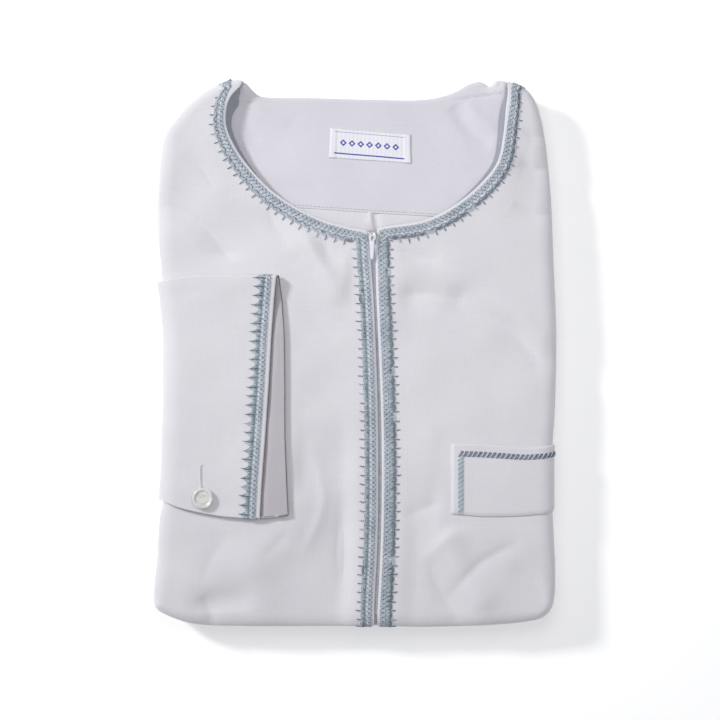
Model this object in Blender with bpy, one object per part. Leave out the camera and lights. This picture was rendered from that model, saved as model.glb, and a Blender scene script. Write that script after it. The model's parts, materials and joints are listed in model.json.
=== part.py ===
"""A white thobe (long robe), folded flat with its neck, zip placket, cuff and pocket on top.

Tables and functions are in millimetres and become metres where a mesh is made. X runs to the right,
Y towards the collar, Z up, and the folded robe lies on Z = 0. The upper cloth is one height field,
rolled over at the outline of the fold; whatever lies on it is made from its points, moved out.
"""

import math

import bmesh
import bpy
import numpy as np
from mathutils import geometry

MM = 0.001

# Cloth and gaps
CLOTH = 1.2
THIN_CLOTH = 1.0
SEAM_GAP = 0.3
LYING_GAP = 0.4

# Heights of the fold
EDGE_TOP = 22.6
CROWN = 2.4
HALF_WIDTH = 121.0
HALF_LENGTH = 165.0
TUCK_LEVEL = 13.5
CORE_DROP = 3.7
NECK_RIM = 0.8
NECK_RIM_REACH = 6.0
NECK_DROP_AT_ZIP = 3.1
NECK_DROP_AT_BACK = 7.0
SHOULDER_RISE = 4.5
SHOULDER_RISE_REACH = 8.0

# Trim: a braid of a loop column and a dense band, sewn beside every finished edge
TRIM_MARGIN = 1.4
LOOPS_WIDTH = 3.8
TRIM_WIDTH = 7.4
TRIM_SHARE_AT_SHOULDER = 0.86
TRIM_THICK = 1.0
BRAID_TURN_REACH = 9.0
SHOULDER_FAN = 22.0

# The outline seen from above, anticlockwise from the zip: x, y, width of the rolled edge
BOTTOM_AND_RIGHT_ROWS = [
    (14.5, -164.6, 9.0),
    (41.5, -165.1, 9.0),
    (68.5, -164.4, 9.0),
    (88.0, -163.4, 8.0),
    (104.0, -161.6, 6.5),
    (112.0, -159.4, 5.0),
    (117.2, -154.3, 5.0),
    (119.2, -147.0, 6.0),
    (119.8, -134.0, 8.0),
    (118.9, -112.0, 9.0),
    (118.2, -97.0, 9.0),
    (118.2, -55.0, 9.0),
    (119.2, -40.0, 9.0),
    (120.4, 8.0, 9.0),
    (118.6, 55.0, 9.0),
    (117.2, 91.0, 9.0),
    (114.8, 118.0, 9.0),
    (111.6, 138.0, 7.0),
    (108.0, 149.5, 5.0),
    (103.0, 156.6, 4.0),
]
COLLAR_ROWS = [
    (95.0, 160.8, 3.5),
    (88.0, 162.8, 3.2),
    (84.6, 162.9, 2.6),
    (82.4, 160.8, 2.6),
    (80.2, 159.4, 3.0),
    (77.6, 161.2, 3.2),
    (74.0, 162.3, 3.5),
    (68.0, 160.8, 3.5),
    (60.0, 156.4, 3.5),
    (50.0, 153.0, 3.5),
    (38.0, 151.4, 3.5),
    (10.0, 151.6, 3.5),
    (-26.0, 152.6, 3.5),
    (-50.0, 152.9, 3.5),
    (-58.0, 153.9, 3.5),
    (-62.5, 157.6, 3.5),
    (-66.2, 161.6, 3.2),
    (-70.5, 163.0, 3.2),
    (-78.0, 161.6, 4.0),
    (-90.5, 155.8, 5.5),
]
LEFT_AND_BOTTOM_ROWS = [
    (-101.0, 147.4, 6.5),
    (-109.0, 138.0, 6.5),
    (-113.6, 131.6, 6.5),
    (-116.0, 121.0, 8.0),
    (-118.7, 91.0, 9.0),
    (-118.6, 72.0, 9.0),
    (-116.9, 53.0, 9.0),
    (-115.2, 36.0, 9.0),
    (-112.9, 10.0, 9.0),
    (-112.3, -17.0, 9.0),
    (-113.2, -53.0, 9.0),
    (-114.8, -86.0, 9.0),
    (-117.4, -99.0, 9.0),
    (-119.2, -125.0, 9.0),
    (-121.1, -146.0, 7.0),
    (-119.8, -153.6, 5.0),
    (-111.4, -158.8, 6.0),
    (-96.0, -163.4, 7.0),
    (-66.4, -164.6, 9.0),
    (-33.0, -164.7, 9.0),
]
# The hidden layers' plainer edge under the collar
LAYER_COLLAR_ROWS = [
    (94.0, 159.4, 3.6),
    (80.0, 158.6, 3.5),
    (64.0, 156.4, 3.5),
    (46.0, 152.6, 3.5),
    (10.0, 151.4, 3.5),
    (-26.0, 152.2, 3.5),
    (-50.0, 153.0, 3.5),
    (-66.0, 157.4, 3.5),
    (-78.0, 158.6, 4.0),
    (-90.0, 154.8, 5.5),
]
LEFT_CORNER = (-117.5, -156.0)
RIGHT_CORNER = (115.2, -157.5)
LEFT_SHOULDER = (-67.0, 162.2)
RIGHT_SHOULDER = (91.6, 161.9)
LEFT_TOP_CORNER = (-107.0, 141.2)
RIGHT_TOP_CORNER = (104.4, 155.0)
LEFT_SIDE_BY_ZIP_TOP = (-116.0, 45.0)
RIGHT_SIDE_BY_ZIP_TOP = (119.0, 45.0)

# The finished neck edge of each front, from the top of the zip to the shoulder: x, y
LEFT_NECKLINE = [
    (6.6, 72.4),
    (-3.0, 74.2),
    (-19.1, 78.6),
    (-35.3, 86.3),
    (-49.7, 95.9),
    (-61.7, 108.0),
    (-71.7, 121.7),
    (-77.4, 135.5),
    (-76.6, 148.0),
    (-73.1, 154.0),
    (-68.8, 157.4),
]
RIGHT_NECKLINE = [
    (12.9, 73.8),
    (23.6, 75.7),
    (34.4, 77.0),
    (44.6, 79.9),
    (56.4, 85.8),
    (72.5, 98.4),
    (84.2, 112.7),
    (88.4, 131.3),
    (90.0, 146.0),
    (91.2, 153.6),
    (91.4, 158.6),
]

# The braid's inner edge where it leaves the neck edge for the shoulder: x, y
LEFT_BRAID_TOP = [(-78.8, 145.4), (-78.0, 150.7), (-76.5, 155.7), (-74.6, 159.2)]
RIGHT_BRAID_TOP = [(91.7, 144.2), (92.8, 152.0), (93.0, 157.8)]

# The zip, from its top to the bottom fold: y, middle x, gap between the two fronts
ZIP_ROWS = [
    (73.0, 9.8, 6.2),
    (67.0, 10.0, 3.6),
    (55.0, 10.4, 2.7),
    (31.0, 11.6, 1.6),
    (7.0, 12.7, 1.6),
    (-41.0, 14.3, 1.9),
    (-89.0, 14.5, 2.0),
    (-119.0, 13.8, 1.9),
    (-143.0, 12.6, 2.0),
    (-166.0, 11.5, 1.7),
]

# Soft folds in the fronts: start x, y, end x, y, sideways bend, half width, height
FOLDS = [
    (24.0, 31.0, 62.0, 32.0, 4.0, 9.0, -0.9),
    (64.0, 30.0, 110.0, -4.0, 3.0, 9.0, -1.2),
    (98.0, 112.0, 117.0, 99.0, 0.0, 9.0, -1.0),
    (-110.0, 88.0, -78.0, 55.0, 5.0, 10.0, -1.2),
    (-34.0, 76.0, -12.0, 38.0, -2.0, 9.0, 1.1),
    (-36.0, -92.0, -60.0, -126.0, 6.0, 12.0, 1.0),
    (-90.0, -151.0, -70.0, -148.0, 0.0, 9.0, -1.1),
    (56.0, -108.0, 74.0, -148.0, -4.0, 9.0, 1.0),
]
FOLDS_START_FROM_ZIP = 12.0
SMOOTH_BOXES = [
    # under the sleeve and under the pocket: x low, x high, y low, y high
    (-125.0, -40.0, -104.0, 50.0),
    (54.0, 125.0, -102.0, -52.0),
]

# How each front is divided
ZIP_PANEL_ROWS = 17
NECK_PANEL_ROWS = 13
PANEL_COLUMNS = 8
PANEL_LOW_END = -155.6
LOW_FADE_ROWS = 8
HIGH_FADE_ROWS = 3
COLLAR_ANGLES = (60.0, 30.0, 0.0, -30.0, -60.0, -84.0)
TUCK_DEPTH = 0.8


# ---------------------------------------------------------------- curves in plan


def smooth_curve(rows, per_span=10, closed=False):
    """Points on a smooth curve through the rows. Columns after x and y are carried along."""
    rows = np.array(rows, float)
    if closed:
        ring = np.vstack([rows[-1:], rows, rows[:2]])
    else:
        ring = np.vstack([2 * rows[:1] - rows[1:2], rows, 2 * rows[-1:] - rows[-2:-1]])
    steps = np.sqrt(np.linalg.norm(np.diff(ring[:, :2], axis=0), axis=1))
    knots = np.concatenate([[0.0], np.cumsum(steps)])
    points = []
    for i in range(1, len(ring) - 2):
        k0, k1, k2, k3 = knots[i - 1 : i + 3]
        p0, p1, p2, p3 = ring[i - 1 : i + 3]
        k = np.linspace(k1, k2, per_span, endpoint=False)[:, None]
        a = ((k1 - k) * p0 + (k - k0) * p1) / (k1 - k0)
        b = ((k2 - k) * p1 + (k - k1) * p2) / (k2 - k1)
        c = ((k3 - k) * p2 + (k - k2) * p3) / (k3 - k2)
        d = ((k2 - k) * a + (k - k0) * b) / (k2 - k0)
        e = ((k3 - k) * b + (k - k1) * c) / (k3 - k1)
        points.append(((k2 - k) * d + (k - k1) * e) / (k2 - k1))
    if not closed:
        points.append(rows[-1:])
    return np.vstack(points)


class Line:
    """A dense curve in plan, read by the length along it. Its normal is on the right of its travel."""

    def __init__(self, points, closed=False):
        self.closed = closed
        self.points = np.vstack([points, points[:1]]) if closed else np.array(points)
        xy = self.points[:, :2]
        self.lengths = np.concatenate([[0.0], np.cumsum(np.linalg.norm(np.diff(xy, axis=0), axis=1))])
        self.length = self.lengths[-1]
        if closed:
            ahead = np.roll(points[:, :2], -1, axis=0)
            behind = np.roll(points[:, :2], 1, axis=0)
            tangents = np.vstack([ahead - behind, (ahead - behind)[:1]])
        else:
            tangents = np.gradient(xy, axis=0)
        tangents /= np.linalg.norm(tangents, axis=1)[:, None]
        self.normals = np.stack([tangents[:, 1], -tangents[:, 0]], axis=1)

    def at(self, s):
        s = s % self.length if self.closed else min(max(s, 0.0), self.length)
        row = np.array([np.interp(s, self.lengths, column) for column in self.points.T])
        normal = np.array([np.interp(s, self.lengths, column) for column in self.normals.T])
        return row, normal / np.linalg.norm(normal)

    def nearest(self, x, y):
        return self.lengths[np.hypot(self.points[:, 0] - x, self.points[:, 1] - y).argmin()]

    def between(self, start, end, count):
        """Lengths from start to end, closer together where the curve turns."""
        span = end - start
        if self.closed and span != self.length:
            span %= self.length
        samples = np.linspace(0.0, span, 400)
        normals = np.array([self.at(start + sample)[1] for sample in samples])
        turning = np.linalg.norm(np.diff(normals, axis=0), axis=1)
        weight = np.concatenate([[0.0], np.cumsum(span / 400 + 12.0 * turning)])
        even = np.linspace(0.0, weight[-1], count)
        return start + np.interp(even, weight, samples)


def distance_to(points, x, y):
    """Distance from each place (x, y) to the nearest of a polyline's edges."""
    place = np.stack([x, y], axis=-1)[..., None, :]
    start, along = points[:-1, :2], np.diff(points[:, :2], axis=0)
    share = ((place - start) * along).sum(-1) / (along * along).sum(-1)
    foot = start + share.clip(0.0, 1.0)[..., None] * along
    return np.linalg.norm(place - foot, axis=-1).min(-1)


def inside(points, x, y):
    """Whether each place (x, y) is inside a closed polyline, by counting the edges above it."""
    x0, y0 = points[:-1, 0], points[:-1, 1]
    x1, y1 = points[1:, 0], points[1:, 1]
    px, py = x[..., None], y[..., None]
    spans = (x0 > px) != (x1 > px)
    level = y0 + (px - x0) * (y1 - y0) / np.where(x1 == x0, 1.0, x1 - x0)
    return (spans & (py < level)).sum(-1) % 2 == 1




def outline_with(collar_rows):
    rows = BOTTOM_AND_RIGHT_ROWS + collar_rows + LEFT_AND_BOTTOM_ROWS
    return Line(smooth_curve(rows, 6, closed=True), closed=True)


OUTLINE = outline_with(COLLAR_ROWS)
LAYER_OUTLINE = outline_with(LAYER_COLLAR_ROWS)
LEFT_NECK = Line(smooth_curve(LEFT_NECKLINE))
RIGHT_NECK = Line(smooth_curve(RIGHT_NECKLINE))
ZIP_CURVE = smooth_curve([(x, y, gap) for y, x, gap in ZIP_ROWS])
ABOVE_NECK = 190.0
NECK_OPENING = np.vstack(
    [
        LEFT_NECK.points,
        [(-66.0, ABOVE_NECK), (91.0, ABOVE_NECK)],
        RIGHT_NECK.points[::-1],
        LEFT_NECK.points[:1],
    ]
)


def zip_middle(y):
    return np.interp(-np.asarray(y), -ZIP_CURVE[:, 1], ZIP_CURVE[:, 0])


def zip_gap(y):
    return np.interp(-np.asarray(y), -ZIP_CURVE[:, 1], ZIP_CURVE[:, 2])


# ---------------------------------------------------------------- the upper cloth as heights


def ease(t):
    t = np.clip(t, 0.0, 1.0)
    return t * t * (3.0 - 2.0 * t)


def dome(x, y):
    across = 1.0 - np.clip(np.abs(x) / HALF_WIDTH, 0.0, 1.0) ** 2
    along = 1.0 - np.clip(np.abs(y) / HALF_LENGTH, 0.0, 1.0) ** 2
    return EDGE_TOP + CROWN * across * along


def neck_distance(x, y):
    """How far outside the neck opening a place is; negative within it."""
    away = distance_to(NECK_OPENING, x, y)
    return np.where(inside(NECK_OPENING, x, y), -away, away)


def fold_heights(x, y):
    """The soft folds, fading out beside the zip and under the sleeve and pocket."""
    total = np.zeros_like(x)
    for x0, y0, x1, y1, bend, half_width, height in FOLDS:
        start, end = np.array([x0, y0]), np.array([x1, y1])
        side = np.array([y0 - y1, x1 - x0]) / np.linalg.norm(end - start)
        middle = (start + end) / 2 + side * bend
        path = smooth_curve([start, middle, end], 6)
        away = distance_to(path, x, y)
        total += height * np.exp(-((away / half_width) ** 2))
    total *= ease((np.abs(x - zip_middle(y)) - FOLDS_START_FROM_ZIP) / 12.0)
    for low_x, high_x, low_y, high_y in SMOOTH_BOXES:
        beyond = np.maximum(
            np.maximum(low_x - x, x - high_x), np.maximum(low_y - y, y - high_y)
        )
        total *= ease(beyond / 10.0)
    return total


def front_top(x, y):
    """Height of the fronts' upper face."""
    x, y = np.asarray(x, float), np.asarray(y, float)
    away = np.clip(neck_distance(x, y), 0.0, None)
    return dome(x, y) + NECK_RIM * np.exp(-((away / NECK_RIM_REACH) ** 2)) + fold_heights(x, y)


def neck_bed(x, y):
    """Height of the back cloth without its rise to the shoulders."""
    share = ease((y - 76.0) / 70.0)
    return dome(x, y) - NECK_DROP_AT_ZIP - (NECK_DROP_AT_BACK - NECK_DROP_AT_ZIP) * share


def neck_top(x, y):
    """Height of the cloth of the back, seen inside the neck opening."""
    x, y = np.asarray(x, float), np.asarray(y, float)
    rise = 0.0
    for tip_x, tip_y in (LEFT_SHOULDER, RIGHT_SHOULDER):
        away = np.hypot(x - tip_x, y - tip_y)
        rise = rise + SHOULDER_RISE * np.exp(-((away / SHOULDER_RISE_REACH) ** 2))
    return neck_bed(x, y) + rise


def core_top(x, y):
    """Height of the hidden layers: under the back cloth in the neck, under the fronts elsewhere."""
    x, y = np.asarray(x, float), np.asarray(y, float)
    share = ease((neck_distance(x, y) - 7.0) / 8.0)
    under_back = neck_bed(x, y) - CLOTH - 0.7
    under_front = dome(x, y) - CORE_DROP
    return np.minimum(under_back * (1.0 - share) + under_front * share, under_front)


def roll_point(s, degrees, out=0.0, top=front_top):
    """A point on the rolled edge at length s of the outline, moved out along its normal.

    90 degrees is where the roll leaves the flat top, 0 is the outline and -90 the tuck underneath.
    """
    row, normal = OUTLINE.at(s)
    width = row[2]
    flat = row[:2] - normal * width
    high = float(top(flat[0], flat[1]))
    middle, half = (high + TUCK_LEVEL) / 2, (high - TUCK_LEVEL) / 2
    turn = math.radians(degrees)
    facing = np.array([math.cos(turn) / width, math.sin(turn) / half])
    facing /= np.linalg.norm(facing)
    side = width * math.cos(turn) + facing[0] * out
    xy = flat + normal * side
    return np.array([xy[0], xy[1], middle + half * math.sin(turn) + facing[1] * out])


def tuck_point(s, inward, out=0.0, top=front_top):
    """A point past the end of the roll, where the cloth goes in between the layers."""
    point = roll_point(s, COLLAR_ANGLES[-1], out, top)
    _, normal = OUTLINE.at(s)
    return point - np.array([normal[0], normal[1], 0.0]) * inward


def bottom_station(x):
    """The length along the outline at which the bottom fold has this x."""
    dense = OUTLINE.points[OUTLINE.points[:, 1] < -155.0]
    nearest_y = dense[np.abs(dense[:, 0] - x).argmin(), 1]
    guess = OUTLINE.nearest(x, nearest_y)
    for _ in range(4):
        guess += x - OUTLINE.at(guess)[0][0]
    return guess


# ---------------------------------------------------------------- meshes


def new_object(name, points, faces, material):
    """A mesh object from points in millimetres."""
    mesh = bpy.data.meshes.new(name)
    mesh.from_pydata([tuple(np.asarray(point) * MM) for point in points], [], faces)
    mesh.validate()
    mesh.materials.append(material)
    mesh.shade_smooth()
    obj = bpy.data.objects.new(name, mesh)
    bpy.context.scene.collection.objects.link(obj)
    return obj


def grid_faces(rows, columns, closed=False):
    """Faces between neighbouring rows of a grid whose points are listed row by row."""
    last = columns if closed else columns - 1
    faces = []
    for i in range(rows - 1):
        for j in range(last):
            k = (j + 1) % columns
            faces.append(
                (i * columns + j, i * columns + k, (i + 1) * columns + k, (i + 1) * columns + j)
            )
    return faces


def facing_up(points, faces):
    """The faces, turned over together if most of their area faces down."""
    total = 0.0
    for face in faces:
        a, b, c = (np.asarray(points[i]) for i in (face[0], face[1], face[2]))
        total += np.cross(b - a, c - a)[2]
    return faces if total > 0 else [tuple(reversed(face)) for face in faces]


def cloth_object(name, points, faces, material, thickness=CLOTH, outward=False):
    """A wall of cloth: the given surface, thickened downwards, or outwards for what lies on it."""
    obj = new_object(name, points, facing_up(points, faces), material)
    wall = obj.modifiers.new("wall", "SOLIDIFY")
    wall.thickness = thickness * MM
    wall.offset = 1.0 if outward else -1.0
    wall.use_even_offset = False
    return obj


def moved_out(grid, gap):
    """A grid of points, each moved along its normal away from the floor."""
    grid = np.array(grid, float)
    along = np.gradient(grid, axis=0)
    across = np.gradient(grid, axis=1)
    normals = np.cross(along, across)
    normals /= np.linalg.norm(normals, axis=-1)[..., None]
    if normals[..., 2].sum() < 0:
        normals = -normals
    return grid + normals * gap


def grid_object(name, grid, material, thickness=CLOTH, outward=False):
    grid = np.array(grid, float)
    rows, columns = grid.shape[:2]
    points = grid.reshape(-1, 3)
    return cloth_object(name, points, grid_faces(rows, columns), material, thickness, outward)


def simple_material(name, colour, roughness, metallic=0.0):
    material = bpy.data.materials.new(name)
    material.use_nodes = True
    shader = material.node_tree.nodes["Principled BSDF"]
    shader.inputs["Base Color"].default_value = (*colour, 1.0)
    shader.inputs["Roughness"].default_value = roughness
    shader.inputs["Metallic"].default_value = metallic
    return material


# ---------------------------------------------------------------- hidden layers

LAYER_STATIONS = 84
LOWER_ROLL = (3.4, 3.4, 5.0)
MIDDLE_ROLL = (9.9, 3.2, 5.0)
CORE_GROOVE = 2.2
CORE_LEAST_INSET = 7.4
CORE_UNDERSIDE = 16.5


def layer_wander(s, phase):
    """How far a lower layer's edge lies in from the outline of the top one."""
    turns = 2 * math.pi * s / LAYER_OUTLINE.length
    return 1.3 + 0.5 * math.sin(5 * turns + phase) + 0.35 * math.sin(11 * turns + 2 * phase)


def folded_layers(material):
    """The hidden layers as one rounded solid, with two more folded edges showing under the top one."""
    stations = LAYER_OUTLINE.between(0.0, LAYER_OUTLINE.length, LAYER_STATIONS + 1)[:-1]
    rings = []

    def ring(inset_of, height_of):
        points = []
        for s in stations:
            row, normal = LAYER_OUTLINE.at(s)
            xy = row[:2] - normal * inset_of(s, row)
            points.append((xy[0], xy[1], height_of(s, row, xy)))
        rings.append(points)

    def roll(middle, half, width, phase, angles):
        for degrees in angles:
            turn = math.radians(degrees)
            ring(
                lambda s, row, t=turn: layer_wander(s, phase)
                + min(width, row[2] + 1.0) * (1.0 - math.cos(t)),
                lambda s, row, xy, t=turn: middle + half * math.sin(t),
            )

    roll(*LOWER_ROLL, 0.4, (-90, -50, -10, 30, 64))
    roll(*MIDDLE_ROLL, 2.1, (-60, -20, 20, 60))
    middle, half, _ = MIDDLE_ROLL
    ring(lambda s, row: 6.0, lambda s, row, xy: middle + half)
    ring(lambda s, row: max(row[2], CORE_LEAST_INSET) + CORE_GROOVE, lambda s, row, xy: middle + half)

    def core_inset(row, turn):
        return max(row[2], CORE_LEAST_INSET) - max(row[2] - CORE_DROP, 0.5) * math.cos(turn)

    def core_height(row, xy, s, turn):
        flat = row[:2] - LAYER_OUTLINE.at(s)[1] * max(row[2], CORE_LEAST_INSET)
        top = float(core_top(flat[0], flat[1]))
        bottom = min(CORE_UNDERSIDE, (top + TUCK_LEVEL) / 2 + 0.3)
        return (top + bottom) / 2 + (top - bottom) / 2 * math.sin(turn)

    ring(
        lambda s, row: max(row[2], CORE_LEAST_INSET) + CORE_GROOVE,
        lambda s, row, xy: core_height(row, xy, s, -math.pi / 2),
    )
    for degrees in (-60, 0, 45, 90):
        turn = math.radians(degrees)
        ring(
            lambda s, row, t=turn: core_inset(row, t),
            lambda s, row, xy, t=turn: core_height(row, xy, s, t),
        )
    count = len(stations)
    points = [point for points in rings for point in points]
    faces = grid_faces(len(rings), count, closed=True)
    middle_of_base = len(points)
    points.append(tuple(np.mean(rings[0], axis=0)))
    faces += [(middle_of_base, (i + 1) % count, i) for i in range(count)]
    top_points, top_faces = top_cover(rings[-1])
    offset = (len(rings) - 1) * count
    extra = len(points)
    for face in top_faces:
        faces.append(tuple(offset + i if i < count else extra + i - count for i in face))
    points += top_points[count:]
    return new_object("folded_layers", points, faces, material)


COVER_STEP = 17.0


def top_cover(rim):
    """The upper face of the hidden layers: a field of points inside its rim, with the neck recess."""
    rim = np.array(rim)
    plan = [tuple(point[:2]) for point in rim]
    count = len(plan)
    closed_rim = np.vstack([rim[:, :2], rim[:1, :2]])
    places = []
    for line, side in ((LEFT_NECK, 1.0), (RIGHT_NECK, -1.0)):
        for distance in (6.0, 15.0):
            for s in np.linspace(0.0, line.length, 15):
                row, normal = line.at(s)
                places.append(row[:2] - side * normal * distance)
    for y in np.arange(-150.0, 160.0, COVER_STEP):
        for x in np.arange(-110.0, 115.0, COVER_STEP):
            places.append(np.array([x, y]))
    kept = []
    for place in places:
        x, y = np.array([place[0]]), np.array([place[1]])
        if not inside(closed_rim, x, y)[0] or distance_to(closed_rim, x, y)[0] < 5.0:
            continue
        if kept and min(np.hypot(*(place - other)) for other in kept) < 6.5:
            continue
        kept.append(place)
    everything = plan + [tuple(place) for place in kept]
    edges = [(i, (i + 1) % count) for i in range(count)]
    found = geometry.delaunay_2d_cdt(everything, edges, [], 1, 1e-4)
    points = [tuple(point) for point in rim]
    for place in kept:
        points.append((place[0], place[1], float(core_top(place[0], place[1]))))
    faces = []
    for face in found[2]:
        originals = [found[3][i][0] for i in face]
        a, b, c = (np.array(everything[i]) for i in originals)
        turning = np.cross(b - a, c - a)
        faces.append(tuple(originals if turning > 0 else reversed(originals)))
    return points, faces


# ---------------------------------------------------------------- fronts, trims


def neck_way(side, normal):
    return -normal if side < 0 else normal


def braid_line(side):
    """The braid's inner edge round the neck: the neck edge moved out, then its own way to the shoulder."""
    neck = LEFT_NECK if side < 0 else RIGHT_NECK
    top = LEFT_BRAID_TOP if side < 0 else RIGHT_BRAID_TOP
    lower = []
    for s in np.linspace(0.0, neck.nearest(*top[0]) - BRAID_TURN_REACH, 14):
        row, normal = neck.at(s)
        lower.append(tuple(row[:2] + neck_way(side, normal) * TRIM_MARGIN))
    return Line(smooth_curve(lower + top, 6))


def braid_points(start, way, share):
    return [start, start + way * LOOPS_WIDTH * share, start + way * TRIM_WIDTH * share]


def inner_columns(side):
    """Each row's first four points: a front's finished edge and the braid's three lines.

    The edge runs up the zip and round the neck. The way at the top of the zip is the mitre of both.
    """
    zip_top = LEFT_NECKLINE[0] if side < 0 else RIGHT_NECKLINE[0]
    neck = LEFT_NECK if side < 0 else RIGHT_NECK
    rows = []
    for share in np.linspace(0.0, 1.0, ZIP_PANEL_ROWS, endpoint=False):
        y = PANEL_LOW_END + (zip_top[1] - PANEL_LOW_END) * share
        edge = np.array([zip_middle(y) + side * zip_gap(y) / 2, y])
        way = np.array([side, 0.0])
        rows.append([edge] + braid_points(edge + way * TRIM_MARGIN, way, 1.0))
    first_way = neck_way(side, neck.at(0.0)[1])
    mitre = np.array([side, 0.0]) + first_way
    mitre /= 1.0 + np.dot([side, 0.0], first_way)
    edge = np.array(zip_top)
    rows.append([edge] + braid_points(edge + mitre * TRIM_MARGIN, mitre, 1.0))
    braid = braid_line(side)
    for s in braid.between(0.0, braid.length, NECK_PANEL_ROWS + 1)[1:]:
        point, normal = braid.at(s)
        near = neck.nearest(*point)
        fan = ease((s - braid.length + SHOULDER_FAN) / SHOULDER_FAN)
        edge = neck.at(near + (neck.length - near) * fan)[0]
        width_share = 1.0 + (TRIM_SHARE_AT_SHOULDER - 1.0) * ease(s / braid.length * 2 - 1)
        rows.append([edge] + braid_points(point, neck_way(side, normal), width_share))
    return rows


def outer_stations(side):
    """The outline's length at the outer end of each row, from the bottom corner to the top one."""
    corner = OUTLINE.nearest(*(LEFT_CORNER if side < 0 else RIGHT_CORNER))
    split = OUTLINE.nearest(*(LEFT_SIDE_BY_ZIP_TOP if side < 0 else RIGHT_SIDE_BY_ZIP_TOP))
    top = OUTLINE.nearest(*(LEFT_TOP_CORNER if side < 0 else RIGHT_TOP_CORNER))
    if side > 0:
        lower = OUTLINE.between(corner, split, ZIP_PANEL_ROWS + 1)
        upper = OUTLINE.between(split, top, NECK_PANEL_ROWS + 1)
    else:
        lower = OUTLINE.between(split, corner, ZIP_PANEL_ROWS + 1)[::-1]
        upper = OUTLINE.between(top, split, NECK_PANEL_ROWS + 1)[::-1]
    return list(lower) + list(upper[1:])


def flat_point(s):
    """Where the roll meets the flat top, in plan."""
    row, normal = OUTLINE.at(s)
    return row[:2] - normal * row[2]


def front_grid(side):
    """Plan points of a front, row by row from the bottom, and the outline's lengths at its border."""
    outer = outer_stations(side)
    shares = np.linspace(0.0, 1.0, PANEL_COLUMNS + 1)[1:]
    plan = []
    for row, s in zip(inner_columns(side), outer):
        far = flat_point(s)
        plan.append(row + [row[3] + (far - row[3]) * share for share in shares])
    bottom = [bottom_station(point[0]) for point in plan[0][:4]]
    span = (side * (outer[0] - bottom[-1])) % OUTLINE.length
    bottom += [bottom[-1] + side * span * share for share in shares]
    shoulder = OUTLINE.nearest(*(LEFT_SHOULDER if side < 0 else RIGHT_SHOULDER))
    braid = OUTLINE.nearest(*plan[-1][1])
    top = [shoulder, braid]
    top += [braid - side * width * TRIM_SHARE_AT_SHOULDER for width in (LOOPS_WIDTH, TRIM_WIDTH)]
    span = side * (top[-1] - outer[-1])
    top += [top[-1] - side * span * share for share in shares]
    last = len(plan) - 1
    for j in range(len(plan[0])):
        low_shift = flat_point(bottom[j]) - plan[0][j]
        high_shift = flat_point(top[j]) - plan[last][j]
        for i in range(last + 1):
            low_fade = max(0.0, 1.0 - i / LOW_FADE_ROWS) ** 2
            high_fade = max(0.0, 1.0 - (last - i) / HIGH_FADE_ROWS) ** 2
            if j < PANEL_COLUMNS + 3:
                plan[i][j] = plan[i][j] + low_shift * low_fade + high_shift * high_fade
    border = list(bottom) + list(outer[1:]) + list(top[-2::-1])
    return plan, border


def front_points(side):
    """The front's grid of points, and the rings of points that roll over its border."""
    plan, border = front_grid(side)
    grid = [[(x, y, float(front_top(x, y))) for x, y in row] for row in plan]
    rings = [[roll_point(s, degrees) for s in border] for degrees in COLLAR_ANGLES]
    rings.append([tuck_point(s, TUCK_DEPTH) for s in border])
    return grid, rings


def front_panel(name, side, material):
    grid, rings = front_points(side)
    rows, columns = len(grid), len(grid[0])
    points = [point for row in grid for point in row]
    faces = grid_faces(rows, columns)
    border = list(range(columns)) + [i * columns + columns - 1 for i in range(1, rows)]
    border += [(rows - 1) * columns + j for j in range(columns - 2, -1, -1)]
    for ring in rings:
        start = len(points)
        points += ring
        fresh = list(range(start, start + len(ring)))
        for k in range(len(border) - 1):
            faces.append((border[k + 1], border[k], fresh[k], fresh[k + 1]))
        border = fresh
    return cloth_object(name, points, faces, material)


def trim_strips(side, material):
    """The braid up the zip and round the neck, lifted off the front's own points."""
    word = "left" if side < 0 else "right"
    grid, rings = front_points(side)
    braid = [list(row[1:4]) for row in grid]
    over_fold = [ring[1:4] for ring in rings[:4]]
    over_shoulder = [ring[-4:-1][::-1] for ring in rings[:5]]
    mitre_row = ZIP_PANEL_ROWS
    up_zip = np.array(over_fold[::-1] + braid[: mitre_row + 1])
    round_neck = np.array(braid[mitre_row:] + over_shoulder)
    up_zip = moved_out(up_zip, LYING_GAP)
    round_neck = moved_out(round_neck, LYING_GAP)
    pull_back = SEAM_GAP / np.linalg.norm(up_zip[-2][0] - up_zip[-1][0])
    up_zip[-1] += (up_zip[-2] - up_zip[-1]) * pull_back
    pull_back = SEAM_GAP / np.linalg.norm(round_neck[1][0] - round_neck[0][0])
    round_neck[0] += (round_neck[1] - round_neck[0]) * pull_back
    grid_object(f"trim_placket_{word}", up_zip, material, TRIM_THICK, outward=True)
    grid_object(f"trim_neck_{word}", round_neck, material, TRIM_THICK, outward=True)


# ---------------------------------------------------------------- back, seen inside the neck

YOKE_ROWS = 9
YOKE_COLUMNS = 16
YOKE_ROLL_ANGLES = (50.0, 10.0, -30.0, -62.0)
UNDER_FRONT = 4.6
UNDER_SHOULDER = 0.9
UNDER_SHOULDER_REACH = 24.0
SEAM_LEFT = (-43.0, 90.2)
SEAM_RIGHT = (52.0, 87.4)
SEAM_MIDDLE_DROP = 3.4
PANEL_ROWS = 5
PANEL_COLUMNS_BACK = 12


def beside_neck(side, count, seam_point):
    """Places under a front's neck edge, from the shoulder down to where the yoke's seam meets it."""
    line = LEFT_NECK if side < 0 else RIGHT_NECK
    seam_length = line.nearest(*seam_point)
    places = []
    for s in np.linspace(line.length, seam_length, count):
        row, normal = line.at(s)
        reach = ease((line.length - s) / UNDER_SHOULDER_REACH)
        under = UNDER_SHOULDER + (UNDER_FRONT - UNDER_SHOULDER) * reach
        way = -normal if side < 0 else normal
        places.append(row[:2] + way * under)
    return places


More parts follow.
